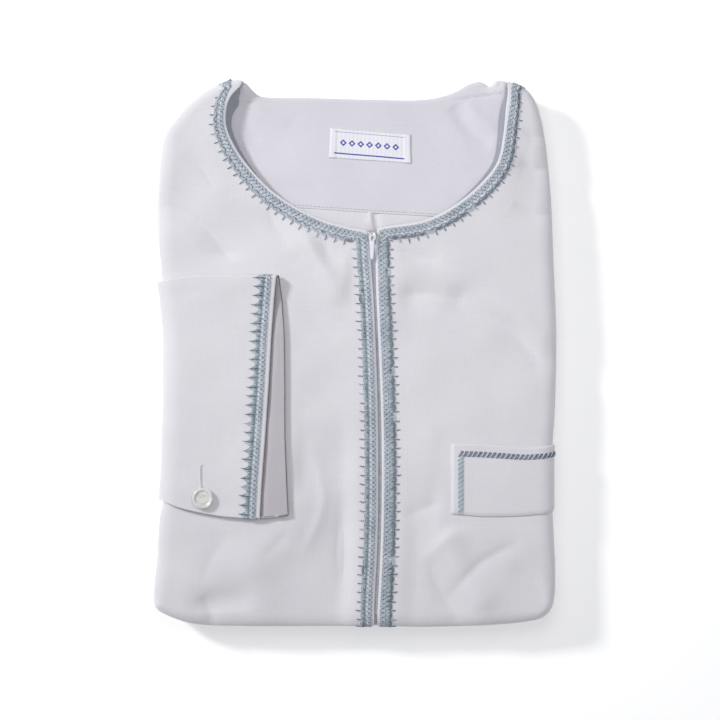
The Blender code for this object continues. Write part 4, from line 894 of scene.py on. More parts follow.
def neck_ribbon(side):
    """The ground round the neck, from a little before the mitre to over the shoulder's fold."""
    across = np.array(RIBBON_ACROSS)
    braid = braid_line(side)
    s = np.linspace(-NECK_LEAD_IN, braid.length, 120)
    point, normal = braid.at(s)
    before = np.minimum(s, 0.0)[:, None]
    first = braid.at(0.0)[1]
    ahead = np.array([-first[1], first[0]])
    point = point[:, :2] + ahead * before
    ways = neck_way(side, normal)[:, None]
    plan = point[:, None] + ways * (across * braid_narrowing(s, braid.length)[:, None])[..., None]
    station = OUTLINE.nearest(*point[-1])
    stations = station - side * across * TRIM_SHARE_AT_SHOULDER
    fade = np.clip(1.0 - (braid.length - s) / TOP_SHIFT_REACH, 0.0, 1.0)[:, None, None] ** 2
    plan = plan + fade * (flat_point(stations) - plan[-1])
    flat = raised(plan, over(front_top, plan))
    rolled = np.array([roll_point(stations, degrees) for degrees in NECK_OVER_FOLD])
    return Ribbon(np.concatenate([flat, rolled]), across)


GROUND, DENSE, DARK, PALE = range(4)
SATIN_PITCH = 0.42
BAND = (3.9, 6.4)
ZIGZAG = (4.3, 6.0)
DENSE_TONES = ((DENSE, 0.6), (GROUND, 0.18), (DARK, 0.1), (PALE, 0.12))
OPEN_TONES = ((PALE, 0.5), (GROUND, 0.26), (DENSE, 0.2), (DARK, 0.04))
CORD_LINE = 6.2
SCALLOP_DEPTH = 0.95
SCALLOP_POWER = 1.4
# The share of a thread that has to lie on its own side of a mitre, and how far off the cut it ends
LEAST_INSIDE = 0.45
MITRE_GAP = 0.1
GROUND_STEP = 1.5
SPIKE_DARK_SHARE = 0.88
# A spike's root and tip across the braid, and its thread's radii from root to tip
COMMA_SPIKE = (6.3, 9.8, (0.24, 0.24, 0.26, 0.3, 0.32, 0.26))
CUFF_SPIKE = (4.6, 10.7, (0.42, 0.4, 0.36, 0.32, 0.27, 0.2))


class Mitre:
    """A straight cut in plan, at which a braid's threads end: a point on it, and the way into the braid."""

    def __init__(self, point, way):
        self.point, self.way = np.asarray(point, float), np.asarray(way, float) / np.linalg.norm(way)

    def cut(self, points):
        """Threads clipped at the mitre, and which of them lie enough on the braid's side."""
        depth = (points[..., :2] - self.point) @ self.way
        kept = (depth > 0.0).mean(axis=1) > LEAST_INSIDE
        points = points.copy()
        points[..., :2] += np.maximum(MITRE_GAP - depth, 0.0)[..., None] * self.way
        return points, kept


class BraidMaker:
    """Lays threads on a ribbon between two lengths along it, and clips them at a mitre if there is one."""

    def __init__(self, ribbon, start, end, seed, mitre=None):
        self.ribbon, self.start, self.end, self.mitre = ribbon, start, end, mitre
        self.rng = np.random.default_rng(seed)
        self.threads = Threads()

    def add(self, s, t, h, radius, sides, slot):
        s, t, h = np.broadcast_arrays(np.atleast_2d(s), np.atleast_2d(t), np.atleast_2d(h))
        within = (s.min(axis=1) >= self.start - 0.01) & (s.max(axis=1) <= self.end + 0.01)
        points, ups = self.ribbon.at(s[within], t[within], h[within])
        if self.mitre is not None and len(points):
            points, kept = self.mitre.cut(points)
            points, ups = points[kept], ups[kept]
        if len(points):
            self.threads.add(points, ups, radius, sides, slot)

    def row(self, centres, s_offsets, t_values, heights, radius, slot, loose=0.08, sides=4):
        """The same stitch at each of many places, a little unevenly."""
        shift = self.rng.normal(0.0, loose, (len(centres), 1))
        self.add(centres[:, None] + np.asarray(s_offsets) + shift, t_values, heights, radius, sides, slot)

    def mixed_row(self, centres, s_offsets, t_values, heights, radius, shares, sides=3):
        """A row whose stitches are of several tones, chosen unevenly. shares: (slot, share) pairs."""
        tone = self.rng.uniform(size=len(centres))
        low = 0.0
        for slot, share in shares:
            chosen = centres[(tone >= low) & (tone < low + share)]
            if len(chosen):
                self.row(chosen, s_offsets, t_values, heights, radius, slot, 0.06, sides)
            low += share

    def ground(self, low_t, high_t, height, slot):
        s = np.arange(self.start, self.end, GROUND_STEP)
        points = self.ribbon.at(s[:, None], np.linspace(low_t, high_t, 5)[None], height)[0]
        if self.mitre is not None:
            points, kept = self.mitre.cut(points)
            points = points[kept]
        self.threads.add_strip(points, slot)


def loop_column(maker, crossings):
    """The inner column: small pale loops on a pale ground, with dark knots at the edges and between."""
    half = crossings + (crossings[1] - crossings[0]) / 2
    fine = np.arange(crossings[0], maker.end, 0.9)
    maker.mixed_row(fine, np.linspace(0.0, 0.8, 4), np.linspace(0.2, 3.6, 4), [0.1, 0.26, 0.26, 0.1], 0.2,
                    ((GROUND, 0.5), (DENSE, 0.26), (PALE, 0.24)))
    turns = np.linspace(0.0, 1.75 * math.pi, 8)
    maker.row(crossings, 0.8 * np.cos(turns), 2.0 + 0.95 * np.sin(turns), 0.42, 0.22, PALE)
    maker.row(half, 0.55 * np.cos(turns), 1.5 + 0.7 * np.sin(turns), 0.34, 0.18, DENSE)
    maker.row(crossings, [-0.45, 0.0, 0.4], [0.85, 0.35, 0.25], [0.3, 0.5, 0.25], 0.26, DARK)
    maker.row(half, [-0.3, 0.1, 0.5], [1.2, 1.9, 2.6], [0.3, 0.52, 0.3], 0.24, DARK)
    maker.row(crossings, [-0.5, 0.0, 0.45], [3.0, 3.5, 3.7], [0.3, 0.5, 0.3], 0.24, DARK)
    maker.row(half, [-0.5, 0.0, 0.5], [0.15, 0.35, 0.15], [0.3, 0.42, 0.3], 0.2, PALE)


def satin_band(maker, tones):
    """Fine stitches straight across the band, of several tones."""
    satin = np.arange(maker.start, maker.end - 0.8, SATIN_PITCH)
    rise = np.array([0.1, 0.42, 0.5, 0.42, 0.1])
    across = np.linspace(BAND[0] + 0.1, BAND[1] - 0.1, 5)
    maker.mixed_row(satin, np.linspace(0, 0.7, 5), across, rise, 0.2, tones)


def zigzag(maker, spikes):
    """The open braid's dark thread, to and fro across the pale band."""
    arc = np.linspace(0.0, 1.0, 7)
    middle = (spikes[:-1] + spikes[1:]) / 2
    for start, end, (low, high) in ((spikes[:-1], middle, ZIGZAG), (middle, spikes[1:], ZIGZAG[::-1])):
        s = start[:, None] + (end - start)[:, None] * arc
        t = low + (high - low) * arc
        maker.add(s, t, 0.55, 0.2, 4, DARK)


def scallops(maker, spikes, dark_share):
    """The outer edge, out between the spikes and in at each: filled with satin and edged by a cord."""
    arc = np.linspace(0.0, 1.0, 11)
    for left, right in zip(spikes[:-1], spikes[1:]):
        dark = maker.rng.uniform() < dark_share
        depth = SCALLOP_DEPTH * (1.0 + maker.rng.normal(0.0, 0.1))
        s = left + (right - left) * arc
        bulge = depth * (1.0 - np.abs(2 * arc - 1.0) ** SCALLOP_POWER)
        tone = DARK if dark else PALE
        maker.add(s, CORD_LINE + bulge, 0.38, 0.25, 4, tone)
        fill = np.arange(left + 0.3, right - 0.2, 0.5)
        out = depth * (1.0 - np.abs(2 * (fill - left) / (right - left) - 1.0) ** SCALLOP_POWER)
        share = np.linspace(0.0, 1.0, 4)
        strokes = CORD_LINE - 0.8 + (out[:, None] + 0.7) * share
        for first, slot in ((0, DENSE), (1, PALE)):
            stitched = fill[first::2, None] + 0.5 * share
            maker.add(stitched, strokes[first::2], [0.3, 0.36, 0.34, 0.2], 0.22, 3, slot)
        wave = left + (right - left) * (0.12 + 0.76 * arc[::2])
        maker.add(wave, CORD_LINE - 0.6 + 0.7 * np.sin(math.pi * arc[::2]), 0.5, 0.2, 4, tone)


def edge_spikes(maker, spikes, dark_share, long_roots):
    """The stitches that stand out of the braid: commas, or on the cuff long roots that taper."""
    low, high, radius = CUFF_SPIKE if long_roots else COMMA_SPIKE
    reach = high + maker.rng.normal(0.0, 0.3, len(spikes))
    slant = maker.rng.normal(0.25, 0.2, len(spikes))
    share = np.linspace(0.0, 1.0, 6)
    s = spikes[:, None] + slant[:, None] * share**2
    t = low + (reach[:, None] - low) * share
    heights = np.array([0.55, 0.5, 0.36, 0.28, 0.22, 0.1])
    dark = maker.rng.uniform(size=len(spikes)) < dark_share
    for chosen, slot in ((dark, DARK), (~dark, DENSE)):
        if chosen.any():
            maker.add(s[chosen], t[chosen], heights, np.array(radius), 4, slot)
    if long_roots:
        for way in (-1.0, 1.0):
            offsets = way * np.array([0.25, 0.9, 1.6])
            maker.row(spikes, offsets, [9.3, 7.6, 6.3], [0.3, 0.4, 0.4], 0.26, DENSE)
    else:
        maker.row(spikes, [-0.75, -0.6, -0.4], [7.2, 8.3, 9.2], [0.3, 0.24, 0.12], 0.16, PALE)


def braid_threads(ribbon, pitch, seed, mitre, dark_share, long_roots=False, open_band=False):
    """The wide braid: a column of loops, a satin band, a scalloped cord, and spikes beyond it."""
    maker = BraidMaker(ribbon, 0.0, ribbon.length, seed, mitre)
    maker.ground(-0.1, 3.9, 0.06, GROUND)
    maker.ground(*BAND, 0.2, PALE if open_band else DENSE)
    spikes = np.arange(pitch * 0.4, ribbon.length, pitch)
    spikes = spikes + maker.rng.normal(0.0, 0.12, len(spikes))
    loop_column(maker, np.arange(spikes[0] - 2 * pitch, ribbon.length, pitch / 2))
    satin_band(maker, OPEN_TONES if open_band else DENSE_TONES)
    if open_band:
        zigzag(maker, spikes)
    if not long_roots:
        scallops(maker, spikes, dark_share)
    edge_spikes(maker, spikes, SPIKE_DARK_SHARE, long_roots)
    return maker.threads


# ---------------------------------------------------------------- back, seen inside the neck

YOKE_ROWS = 9
YOKE_LAP = 3.0
YOKE_LAP_SINK = 1.3
YOKE_COLUMNS = 16
FINE_YOKE = (74, 132)
YOKE_ROLL_ANGLES = (78, 62, 46, 30, 14, -2, -18, -34, -48, -62)
# Rows over which the yoke meets the outline's fold, its binding fades in, and its laps sink
YOKE_FADE_ROWS = 16.0
BINDING_FADE_ROWS = 3.0
YOKE_SINK_ROWS = 12
# How long a lap is sunk before it rises, and over what length it rises
LAP_FLAT = 1.0
LAP_RISE = 4.0
YOKE_EDGE_RISE = 0.15
YOKE_EDGE_ROWS = 1.4
UNDER_FRONT = 4.6
UNDER_SHOULDER = 0.9
UNDER_SHOULDER_REACH = 24.0
SEAM_ENDS = {-1: (-43.0, 90.2), 1: (52.0, 87.4)}
SEAM_MIDDLE_DROP = 0.3
BACK_CLOTH = 0.7


def beside_neck(side, count):
    """Places under a front's neck edge, from the shoulder down to where the yoke's seam meets it."""
    line = NECK[side]
    s = np.linspace(line.length, line.nearest(*SEAM_ENDS[side]), count)
    row, normal = line.at(s)
    reach = ease((line.length - s) / UNDER_SHOULDER_REACH)
    under = UNDER_SHOULDER + (UNDER_FRONT - UNDER_SHOULDER) * reach
    return row[:, :2] + neck_way(side, normal) * under[:, None]


def seam_places(shares):
    """Places along the yoke's seam, which sags a little."""
    start, end = (beside_neck(side, 2)[-1] for side in (-1, 1))
    shares = np.asarray(shares, float)[:, None]
    drop = np.array([0.0, SEAM_MIDDLE_DROP]) * 4 * shares * (1 - shares)
    return start + (end - start) * shares - drop


def yoke_plan():
    """The yoke's plan from the shoulders' fold down to its seam, and the ends of its folded edge."""
    left, right = (beside_neck(side, YOKE_ROWS) for side in (-1, 1))
    start = OUTLINE.nearest(*SHOULDER[-1]) + YOKE_LAP
    end = OUTLINE.nearest(*SHOULDER[1]) - YOKE_LAP
    stations = np.linspace(start, end, YOKE_COLUMNS)
    top_edge = flat_point(stations)
    left[0], right[0] = top_edge[0], top_edge[-1]
    u = np.linspace(0.0, 1.0, YOKE_COLUMNS)
    v = np.linspace(0.0, 1.0, YOKE_ROWS)[:, None, None]
    seam = seam_places(u)
    ruled = left[:, None] + (right - left)[:, None] * u[:, None]
    from_top = top_edge - ruled[0]
    from_seam = seam - ruled[-1]
    return ruled + from_top * (1 - v) + from_seam * v, start, end


# The ditch below the neck's binding, stitched from its fourth point on: x, y
BINDING_LINE = [
    (-70.5, 149.6), (-62.0, 150.2), (-40.0, 149.4), (26.0, 148.2), (45.0, 149.8), (65.0, 152.2),
    (76.0, 153.8), (88.0, 155.2),
]
STITCHED_BINDING = BINDING_LINE[3:]
BINDING_DEPTH = 0.6
BINDING_WIDTH = 0.7
BINDING_PUFF = 0.25
SEAM_STITCH_UP = 1.6


def yoke_heights(x, y):
    """Height of the yoke, with the ditch below the binding and the puffed cloth above it."""
    away, side, _ = nearest_on(smooth_curve(BINDING_LINE, 8), x, y)
    ditch = BINDING_DEPTH * hump(away, BINDING_WIDTH)
    puff = BINDING_PUFF * hump(away - 1.6, 1.2) * (side > 0)
    return neck_top(x, y) - ditch + puff


def back_yoke():
    """The yoke, from its seam to the neck edge, where it rolls over to the outside."""
    plan, start, end = yoke_plan()
    plan = finer(plan, *FINE_YOKE)
    stations = np.linspace(start, end, plan.shape[1])
    fade = np.clip(1.0 - np.arange(len(plan)) / YOKE_FADE_ROWS, 0.0, 1.0)[:, None, None] ** 2
    plan = plan + (flat_point(stations) - plan[0]) * fade
    shares = ease(1.0 - np.arange(len(plan))[:, None] / BINDING_FADE_ROWS)
    height = over(yoke_heights, plan) * (1 - shares) + over(neck_top, plan) * shares
    low_edge = np.arange(len(plan))[::-1, None]
    height += YOKE_EDGE_RISE * hump(low_edge, YOKE_EDGE_ROWS)
    flat = raised(plan, height)
    lap = np.minimum(np.abs(stations - start), np.abs(stations - end))
    sunk = YOKE_LAP_SINK * ease(1.0 - (lap - LAP_FLAT) / LAP_RISE)
    rolled = np.array([roll_point(stations, degrees, -sunk, neck_top) for degrees in YOKE_ROLL_ANGLES])
    rows = np.arange(YOKE_SINK_ROWS)[:, None]
    flat[:YOKE_SINK_ROWS, :, 2] -= sunk * ease(1.0 - rows / YOKE_SINK_ROWS)
    # The yoke takes a slightly darker copy of the white cotton: painted shade inside the neck opening
    piece = grid_piece("back_yoke", np.concatenate([rolled[::-1], flat]), COTTON_PAINTED_SHADE_INSIDE, BACK_CLOTH)
    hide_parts("back_yoke")
    return piece


STITCH = 1.7
STITCH_GAP = 0.7


def yoke_sewing():
    """The stitches along the right half of the neck's binding and above the yoke's seam."""
    threads = Threads()
    seam = seam_places(np.linspace(0.05, 0.95, 40)) + np.array([0.0, SEAM_STITCH_UP])
    for line in (Line(smooth_curve(STITCHED_BINDING, 8)), Line(seam)):
        starts = np.arange(0.5, line.length - STITCH, STITCH + STITCH_GAP)
        s = starts[:, None] + np.linspace(0.0, STITCH, 5)
        plan = line.at(s)[0]
        lift = 0.03 + 0.14 * np.sin(np.linspace(0.0, math.pi, 5))
        path = raised(plan[..., :2], over(yoke_heights, plan) + lift)
        threads.add(path, np.broadcast_to(UP, path.shape), 0.15, 5, 0)
    piece = threads.piece("yoke_sewing", [SEAM_SHADE])
    return piece


# The centre back pleat: its ridge and its valley as x from the pleat's line, height, half width
PLEAT_X = 8.4
PLEAT_LEAN = 0.14
PLEAT_RIDGE = (0.0, 0.75, 1.3)
PLEAT_VALLEY = (3.4, -0.85, 2.3)
PLEAT_PRESSED = 0.7
PANEL_SAG = 3.5
PANEL_LAP = 2.0
PANEL_SINK = 0.6


def back_panel():
    """The back below the yoke's seam, with its centre pleat, as far as it shows over the zip's top."""
    shares = np.linspace(0.0, 1.0, 141)
    ends = []
    for side, seam_end in SEAM_ENDS.items():
        from_zip = np.clip(side * (2 * shares - 1), 0.0, None)
        row, normal = NECK[side].at(NECK[side].nearest(*seam_end) * from_zip)
        ends.append(row[:, :2] + neck_way(side, normal) * UNDER_FRONT)
    below = np.where(shares[:, None] < 0.5, *ends)
    below[:, 1] -= PANEL_SAG * np.sin(math.pi * shares)
    top = seam_places(shares) + np.array([0.0, PANEL_LAP])
    v = np.linspace(0.0, 1.0, 32)[:, None, None]
    plan = top + (below - top) * v
    x, y = plan[..., 0], plan[..., 1]
    height = neck_top(x, y)
    under_seam = ease(1.0 - (top[:, 1] - y) / 3.0)
    height -= PANEL_SINK * under_seam
    from_pleat = x - PLEAT_X + (y - seam_places([0.5])[0, 1]) * PLEAT_LEAN
    for centre, rise, half in (PLEAT_RIDGE, PLEAT_VALLEY):
        height += rise * hump(from_pleat - centre, half) * (1 - PLEAT_PRESSED * under_seam)
    grid = raised(plan, height)
    piece = grid_piece("back_panel", grid, COTTON, BACK_CLOTH)
    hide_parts("back_panel")
    return piece


# Length down from the shoulder, how far the facing's lower edge shows inside the neck edge
FACING_TABLE = {
    -1: [
        (1.5, 0.6), (4.5, 3.4), (8.5, 6.2), (12.0, 5.6), (17.0, 3.6), (24.0, 2.8), (36.0, 2.2),
        (48.0, 1.4), (60.0, 0.6),
    ],
    1: [(1.0, 0.6), (4.0, 1.9), (11.0, 2.9), (19.0, 3.7), (30.0, 2.9), (58.0, 2.0), (80.0, 0.6)],
}
FACING_UNDER = 1.8
FACING_LAP = 8.5
FACING_CLOTH = 0.5
FACING_ARCH = 0.35
FACING_WAVE = 0.12
FACING_SOFTENING = (-3.0, -2.0, -1.0, 0.0, 1.0, 2.0, 3.0)
LYING_GAP = 0.4


def neck_facing(side):
    """The facing's edge, which slopes from under the raised neck edge down to the yoke. Its grey-blue
    colour is painted shade.
    """
    line = NECK[side]
    lengths, shows = np.array(FACING_TABLE[side]).T
    down = np.linspace(lengths[0], lengths[-1], 60)
    row, normal = line.at(line.length - down)
    way = neck_way(side, normal)
    top = row[:, :2] + way * FACING_UNDER
    hidden_edge = row[:, :2] + way * FACING_LAP
    shown = np.mean([np.interp(down + shift, lengths, shows) for shift in FACING_SOFTENING], axis=0)
    foot = row[:, :2] - way * shown[:, None]
    high = over(front_top, top) - CLOTH - LYING_GAP
    low = over(neck_top, foot) + BACK_CLOTH
    share = np.linspace(0.0, 1.0, 12)
    plan = top[:, None] + (foot - top)[:, None] * share[:, None]
    z = high[:, None] + (low - high)[:, None] * share
    arch = np.sin(math.pi * share)
    z += FACING_ARCH * arch + FACING_WAVE * np.sin(down / 5.3)[:, None] * arch
    share = np.linspace(0.0, 1.0, 5)[:-1]
    lap = hidden_edge[:, None] + (top - hidden_edge)[:, None] * share[:, None]
    lap_z = over(front_top, lap) - CLOTH - LYING_GAP
    plan, z = np.concatenate([lap, plan], axis=1), np.concatenate([lap_z, z], axis=1)
    word = SIDE_WORD[side]
    piece = grid_piece(f"neck_facing_{word}", raised(plan, z), FACING_PAINTED_SHADE, FACING_CLOTH)
    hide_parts(f"neck_facing_{word}")
    return piece


LABEL_CORNERS = ((-15.4, 134.5), (32.9, 130.3), (33.2, 112.9), (-16.1, 116.3))
LABEL_LENGTH = 50.0
LABEL_WIDTH = 18.0
LABEL_CLOTH = 0.4
LABEL_FOLD = 4.0
LABEL_LIFT = 0.55


def label_grid(u, v, lift):
    """Points of the label at the shares u along it and v down it."""
    top_left, top_right, low_right, low_left = (np.array(corner) for corner in LABEL_CORNERS)
    upper = top_left + (top_right - top_left) * u[..., None]
    lower = low_left + (low_right - low_left) * u[..., None]
    plan = upper + (lower - upper) * v[..., None]
    return raised(plan, over(neck_top, plan) + LABEL_LIFT + lift)


def neck_label():
    """The woven label, a little uneven, thicker at its two ends where it is folded under."""
    u, v = np.meshgrid(np.linspace(0.0, 1.0, 97), np.linspace(0.0, 1.0, 37))
    at_end = np.minimum(u, 1.0 - u) * LABEL_LENGTH
    at_edge = np.minimum(v, 1 - v) * LABEL_WIDTH
    step = 0.35 * ease((LABEL_FOLD + 0.4 - at_end) / 0.8)
    rounded = -LABEL_CLOTH * (1.0 - np.clip(np.minimum(at_end, at_edge) / 0.5, 0, 1)) ** 2
    curl = 0.35 * np.sin(math.pi * u) * np.sin(math.pi * v) + 0.12 * np.sin(9.0 * u + 4.0 * v)
    grid = label_grid(u, v, step + rounded + curl)
    piece = grid_piece("neck_label", grid, LABEL, LABEL_CLOTH)
    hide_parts("neck_label")
    return piece


# ---------------------------------------------------------------- sleeve, cuff and button

# The flattened sleeve's upper and lower folds, from the mouth to the left edge: x, y
SLEEVE_TOP_FOLD = [(-46.6, 46.4), (-75.0, 46.9), (-100.6, 46.8), (-117.0, 43.2)]
SLEEVE_LOW_FOLD = [
    (-44.0, -99.4), (-63.5, -101.4), (-80.6, -99.9), (-95.0, -97.3), (-105.4, -94.8), (-112.0, -92.0),
    (-117.0, -89.2),
]
# The mouth's two layers: y, x of the upper one, x of the lower one
MOUTH_ROWS = [
    (46.4, -47.0, -46.4), (30.0, -48.6, -44.2), (9.0, -50.2, -42.8), (-20.0, -51.8, -42.5),
    (-49.0, -53.8, -42.5), (-78.0, -56.0, -41.4), (-99.4, -57.2, -40.4),
]
MOUTH_X = -47.0
MOUTH_LOW = -99.0
MOUTH_LENGTH = 145.0
SLEEVE_HOLLOW_REACH = 16.0
# How far apart the layers are, by distance from the mouth: distance, at the top fold, in the middle
SLEEVE_HOLLOW = [(0.0, 3.8, 0.9), (12.0, 3.5, 0.9), (30.0, 2.6, 0.8), (64.0, 0.9, 0.7)]
SLEEVE_WALL = 1.0
SLEEVE_LIFT = 0.6
SLEEVE_STEPS = (0.0, 0.3, 0.8, 1.6, 2.6, 3.8, 5.2, 7.0, 9.0, 11.0, 13.0, 15.5, 18.0, 21.0, 24.0, 27.0, 30.0,
                33.0, 36.0, 39.0, 42.0, 45.0, 48.0)
SLEEVE_ROLL_ANGLES = (90, 80, 70, 60, 50, 40, 30, 20, 10, 0)
SLEEVE_FOOT_LEVELS = (14.5, 11.5, 8.0, 5.6, 3.6)
FOOT_WAVE = 0.35
SLEEVE_ACROSS = 84
FOLD_TURNS = 9
FOLD_BULGE = 0.22
SLEEVE_LEFT_X = -104.0
LEFT_BLEND_START = 24.0
WEDGE_RISE = 1.1
# The dark cord inside the sleeve's mouth, which is painted shadow: its radius, how far out it lies, and the
# height that parts its run on the upper layer from its run on the lower
SHADOW_CORD_RADIUS = 0.36
SHADOW_CORD_OUT = 0.28
SHADOW_CORD_SPLIT = 1.6
CUFF_CLOTH = 0.7
CUFF_MARGIN = 2.6
CUFF_RIBBON_ACROSS = (-0.4, 0.8, 1.9, 3.8, 5.6, 7.4, 9.1, 11.2)
# How much further round both folds the cuff's braid reaches, in points of a ring
CUFF_RIBBON_TURN = 3

# Creases in the sleeve's upper layer: start x, y, end x, y, sideways bend, half width, height
SLEEVE_CREASES = [
    (-112.0, 30.0, -84.0, 38.0, 2.0, 5.0, -0.35),
    (-60.0, 34.0, -74.0, 6.0, 2.0, 6.0, 0.25),
    (-92.0, -60.0, -98.0, -34.0, 1.0, 6.0, -0.30),
    (-64.0, -52.0, -78.0, -76.0, -2.0, 6.0, 0.25),
    (-74.0, -101.0, -78.0, -88.0, 0.0, 3.0, -0.35),
    (-108.0, -92.0, -96.0, -74.0, 1.0, 4.5, 0.35),
]


def table_at(rows, at, column):
    """A table's column, read at values of its first one."""
    rows = np.array(sorted(rows))
    return np.interp(at, rows[:, 0], rows[:, column])


def sleeve_shares(count):
    """Places across the sleeve from its lower fold to its upper one, closer together at the folds."""
    return 0.5 - 0.5 * np.cos(math.pi * np.arange(count) / (count - 1)) * 0.97


def sleeve_relief(x, y):
    """Ripples and creases of the sleeve's upper layer."""
    return with_creases(SLEEVE_RIPPLE_SHARE * ripple_heights(x, y), SLEEVE_CREASES, x, y)


def sleeve_folds(x):
    """The y of the sleeve's lower and upper folds at x."""
    return table_at(SLEEVE_LOW_FOLD, x, 1), table_at(SLEEVE_TOP_FOLD, x, 1)


def sleeve_hollow(x, y, high):
    """The gap between the sleeve's layers, wider at its upper fold and towards its mouth."""
    reach = np.maximum(0.0, MOUTH_X - x)
    at_fold, in_middle = (table_at(SLEEVE_HOLLOW, reach, column) for column in (1, 2))
    return in_middle + (at_fold - in_middle) * hump(high - y, SLEEVE_HOLLOW_REACH)


def sleeve_layer(upper, distance, x_inset, squeeze, shares):
    """One layer's outer points over a ring of the sleeve: x, y and height over the front."""
    mouth_y = MOUTH_LOW + MOUTH_LENGTH * shares
    mouth = table_at(MOUTH_ROWS, mouth_y, 1 if upper else 2)
    near_left = max(0.0, (distance - LEFT_BLEND_START) / (SLEEVE_STEPS[-1] - LEFT_BLEND_START))
    x = (mouth - min(distance, LEFT_BLEND_START)) * (1.0 - near_left) + (SLEEVE_LEFT_X + 2.5) * near_left
    if x_inset is not None:
        x = np.full_like(shares, x_inset)
    low, high = sleeve_folds(x)
    y = low + (high - low) * shares
    if not upper:
        upper_mouth = table_at(MOUTH_ROWS, mouth_y, 1)
        shown = np.clip((mouth - upper_mouth - 1.0) / 5.0, 0.0, 1.0)
        return x, y, WEDGE_RISE * shown * ease((x - upper_mouth - 0.2) / 2.4)
    fade = ease(np.minimum(shares, 1.0 - shares) * 12.0)
    height = 2 * SLEEVE_WALL + sleeve_hollow(x, y, high) * squeeze + sleeve_relief(x, y) * fade
    if x_inset is None:
        height -= 0.4 * np.clip(1.0 - distance / 0.9, 0.0, 1.0) ** 2
    return x, y, height


def sleeve_loop(distance, x_inset=None, squeeze=1.0):
    """A closed ring of the sleeve: the lower layer, round the top fold, and back along the upper."""
    shares = sleeve_shares(SLEEVE_ACROSS)
    lower = np.stack(sleeve_layer(False, distance, x_inset, squeeze, shares), axis=-1)
    upper = np.stack(sleeve_layer(True, distance, x_inset, squeeze, shares), axis=-1)[::-1]
    turns = []
    for start, end, outward in ((lower[-1], upper[0], 1.0), (upper[-1], lower[0], -1.0)):
        angle = math.pi * np.arange(1, FOLD_TURNS + 1) / (FOLD_TURNS + 1)
        mix = (1 - np.cos(angle)) / 2
        bend = start + (end - start) * mix[:, None]
        bend[:, 1] += outward * abs(end[2] - start[2]) * FOLD_BULGE * np.sin(angle)
        turns.append(bend)
    return np.concatenate([lower, turns[0], upper, turns[1]])


def rolled_rows(y, degrees, out):
    """Points round the left fold that follow the sleeve's slanting folds there."""
    low, high = sleeve_folds(SLEEVE_LEFT_X)
    shares = (y - low) / (high - low)
    stations = left_station(y)
    for _ in range(5):
        point = roll_point(stations, degrees)
        low, high = sleeve_folds(point[:, 0])
        stations = stations + point[:, 1] - (low + (high - low) * shares)
    return roll_point(stations, degrees, out)


def on_fronts(loop):
    """Points of a sleeve's ring, set on the fronts' upper face."""
    x, y, height = loop.T
    return np.stack([x, y, front_top(x, y) + SLEEVE_LIFT + height], axis=-1)


def sleeve_rings():
    """The sleeve's rings: along its flat part, round the left fold, and down under the fronts."""
    rings = []
    for distance in SLEEVE_STEPS:
        rings.append(on_fronts(sleeve_loop(distance)))
    for degrees in SLEEVE_ROLL_ANGLES:
        _, y, height = sleeve_loop(0.0, SLEEVE_LEFT_X, 0.5 + 0.5 * degrees / 90.0).T
        rings.append(rolled_rows(y, degrees, SLEEVE_LIFT + height))
    for level in SLEEVE_FOOT_LEVELS:
        _, y, height = sleeve_loop(0.0, SLEEVE_LEFT_X, 0.5).T
        point = rolled_rows(y, 0.0, SLEEVE_LIFT + height)
        point[:, 2] = level
        point[:, 0] += FOOT_WAVE * np.sin(y / 9.0) * (SLEEVE_FOOT_LEVELS[0] - level) / 11.0
        rings.append(point)
    return np.array(rings)


def sleeve():
    """The flattened sleeve, a tube with an open mouth, wrapped round the left fold."""
    rings = sleeve_rings()
    rows, count = rings.shape[:2]
    faces = grid_faces(rows, count, closed=True)
    closed = np.concatenate([rings, rings[:, :1]], axis=1)
    uv = grid_uv(closed).reshape(rows, count + 1, 2)[:, :-1].reshape(-1, 2)
    piece = add_wall(new_piece("sleeve", rings.reshape(-1, 3), faces[:, ::-1], COTTON, uv=uv), CUFF_CLOTH)
    # The inner face takes a darker copy of the cotton: painted shade on the lower layer seen in the mouth
    piece.data.materials.append(SLEEVE_INSIDE_PAINTED_SHADE)
    piece.modifiers["wall"].material_offset = 1
    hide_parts("sleeve")
    return piece


def cuff_mouth_shadow():
    """A dark cord all round inside the sleeve's mouth: painted shadow in the gap under the upper layer's
    edge and beside the lower layer's edge.
    """
    loop = sleeve_loop(0.0)
    path = on_fronts(loop)
    path[:, 0] += SHADOW_CORD_OUT
    path[:, 2] += np.where(loop[:, 2] > SHADOW_CORD_SPLIT, -1.0, 1.0) * CUFF_CLOTH * 0.62
    path = np.concatenate([path, path[:1]])
    threads = Threads()
    threads.add(path, np.tile(UP, (len(path), 1)), SHADOW_CORD_RADIUS, 6, 0, ends=1.0)
    piece = threads.piece("cuff_mouth_shadow", [PAINTED_MOUTH_SHADOW])
    return piece


def cuff_ribbon():
    """The ground of the cuff's braid, round the lower fold, up the upper layer and over the top fold."""
    across = np.array(CUFF_RIBBON_ACROSS)
    upper = SLEEVE_ACROSS + FOLD_TURNS
    turn = CUFF_RIBBON_TURN
    places = np.arange(upper + SLEEVE_ACROSS + turn, SLEEVE_ACROSS + turn, -1)
    columns = []
    for distance in across + CUFF_MARGIN:
        columns.append(on_fronts(sleeve_loop(distance)[places]))
    return Ribbon(np.stack(columns, axis=1), across)


BUTTON_PLACE = (-91.0, -87.4)
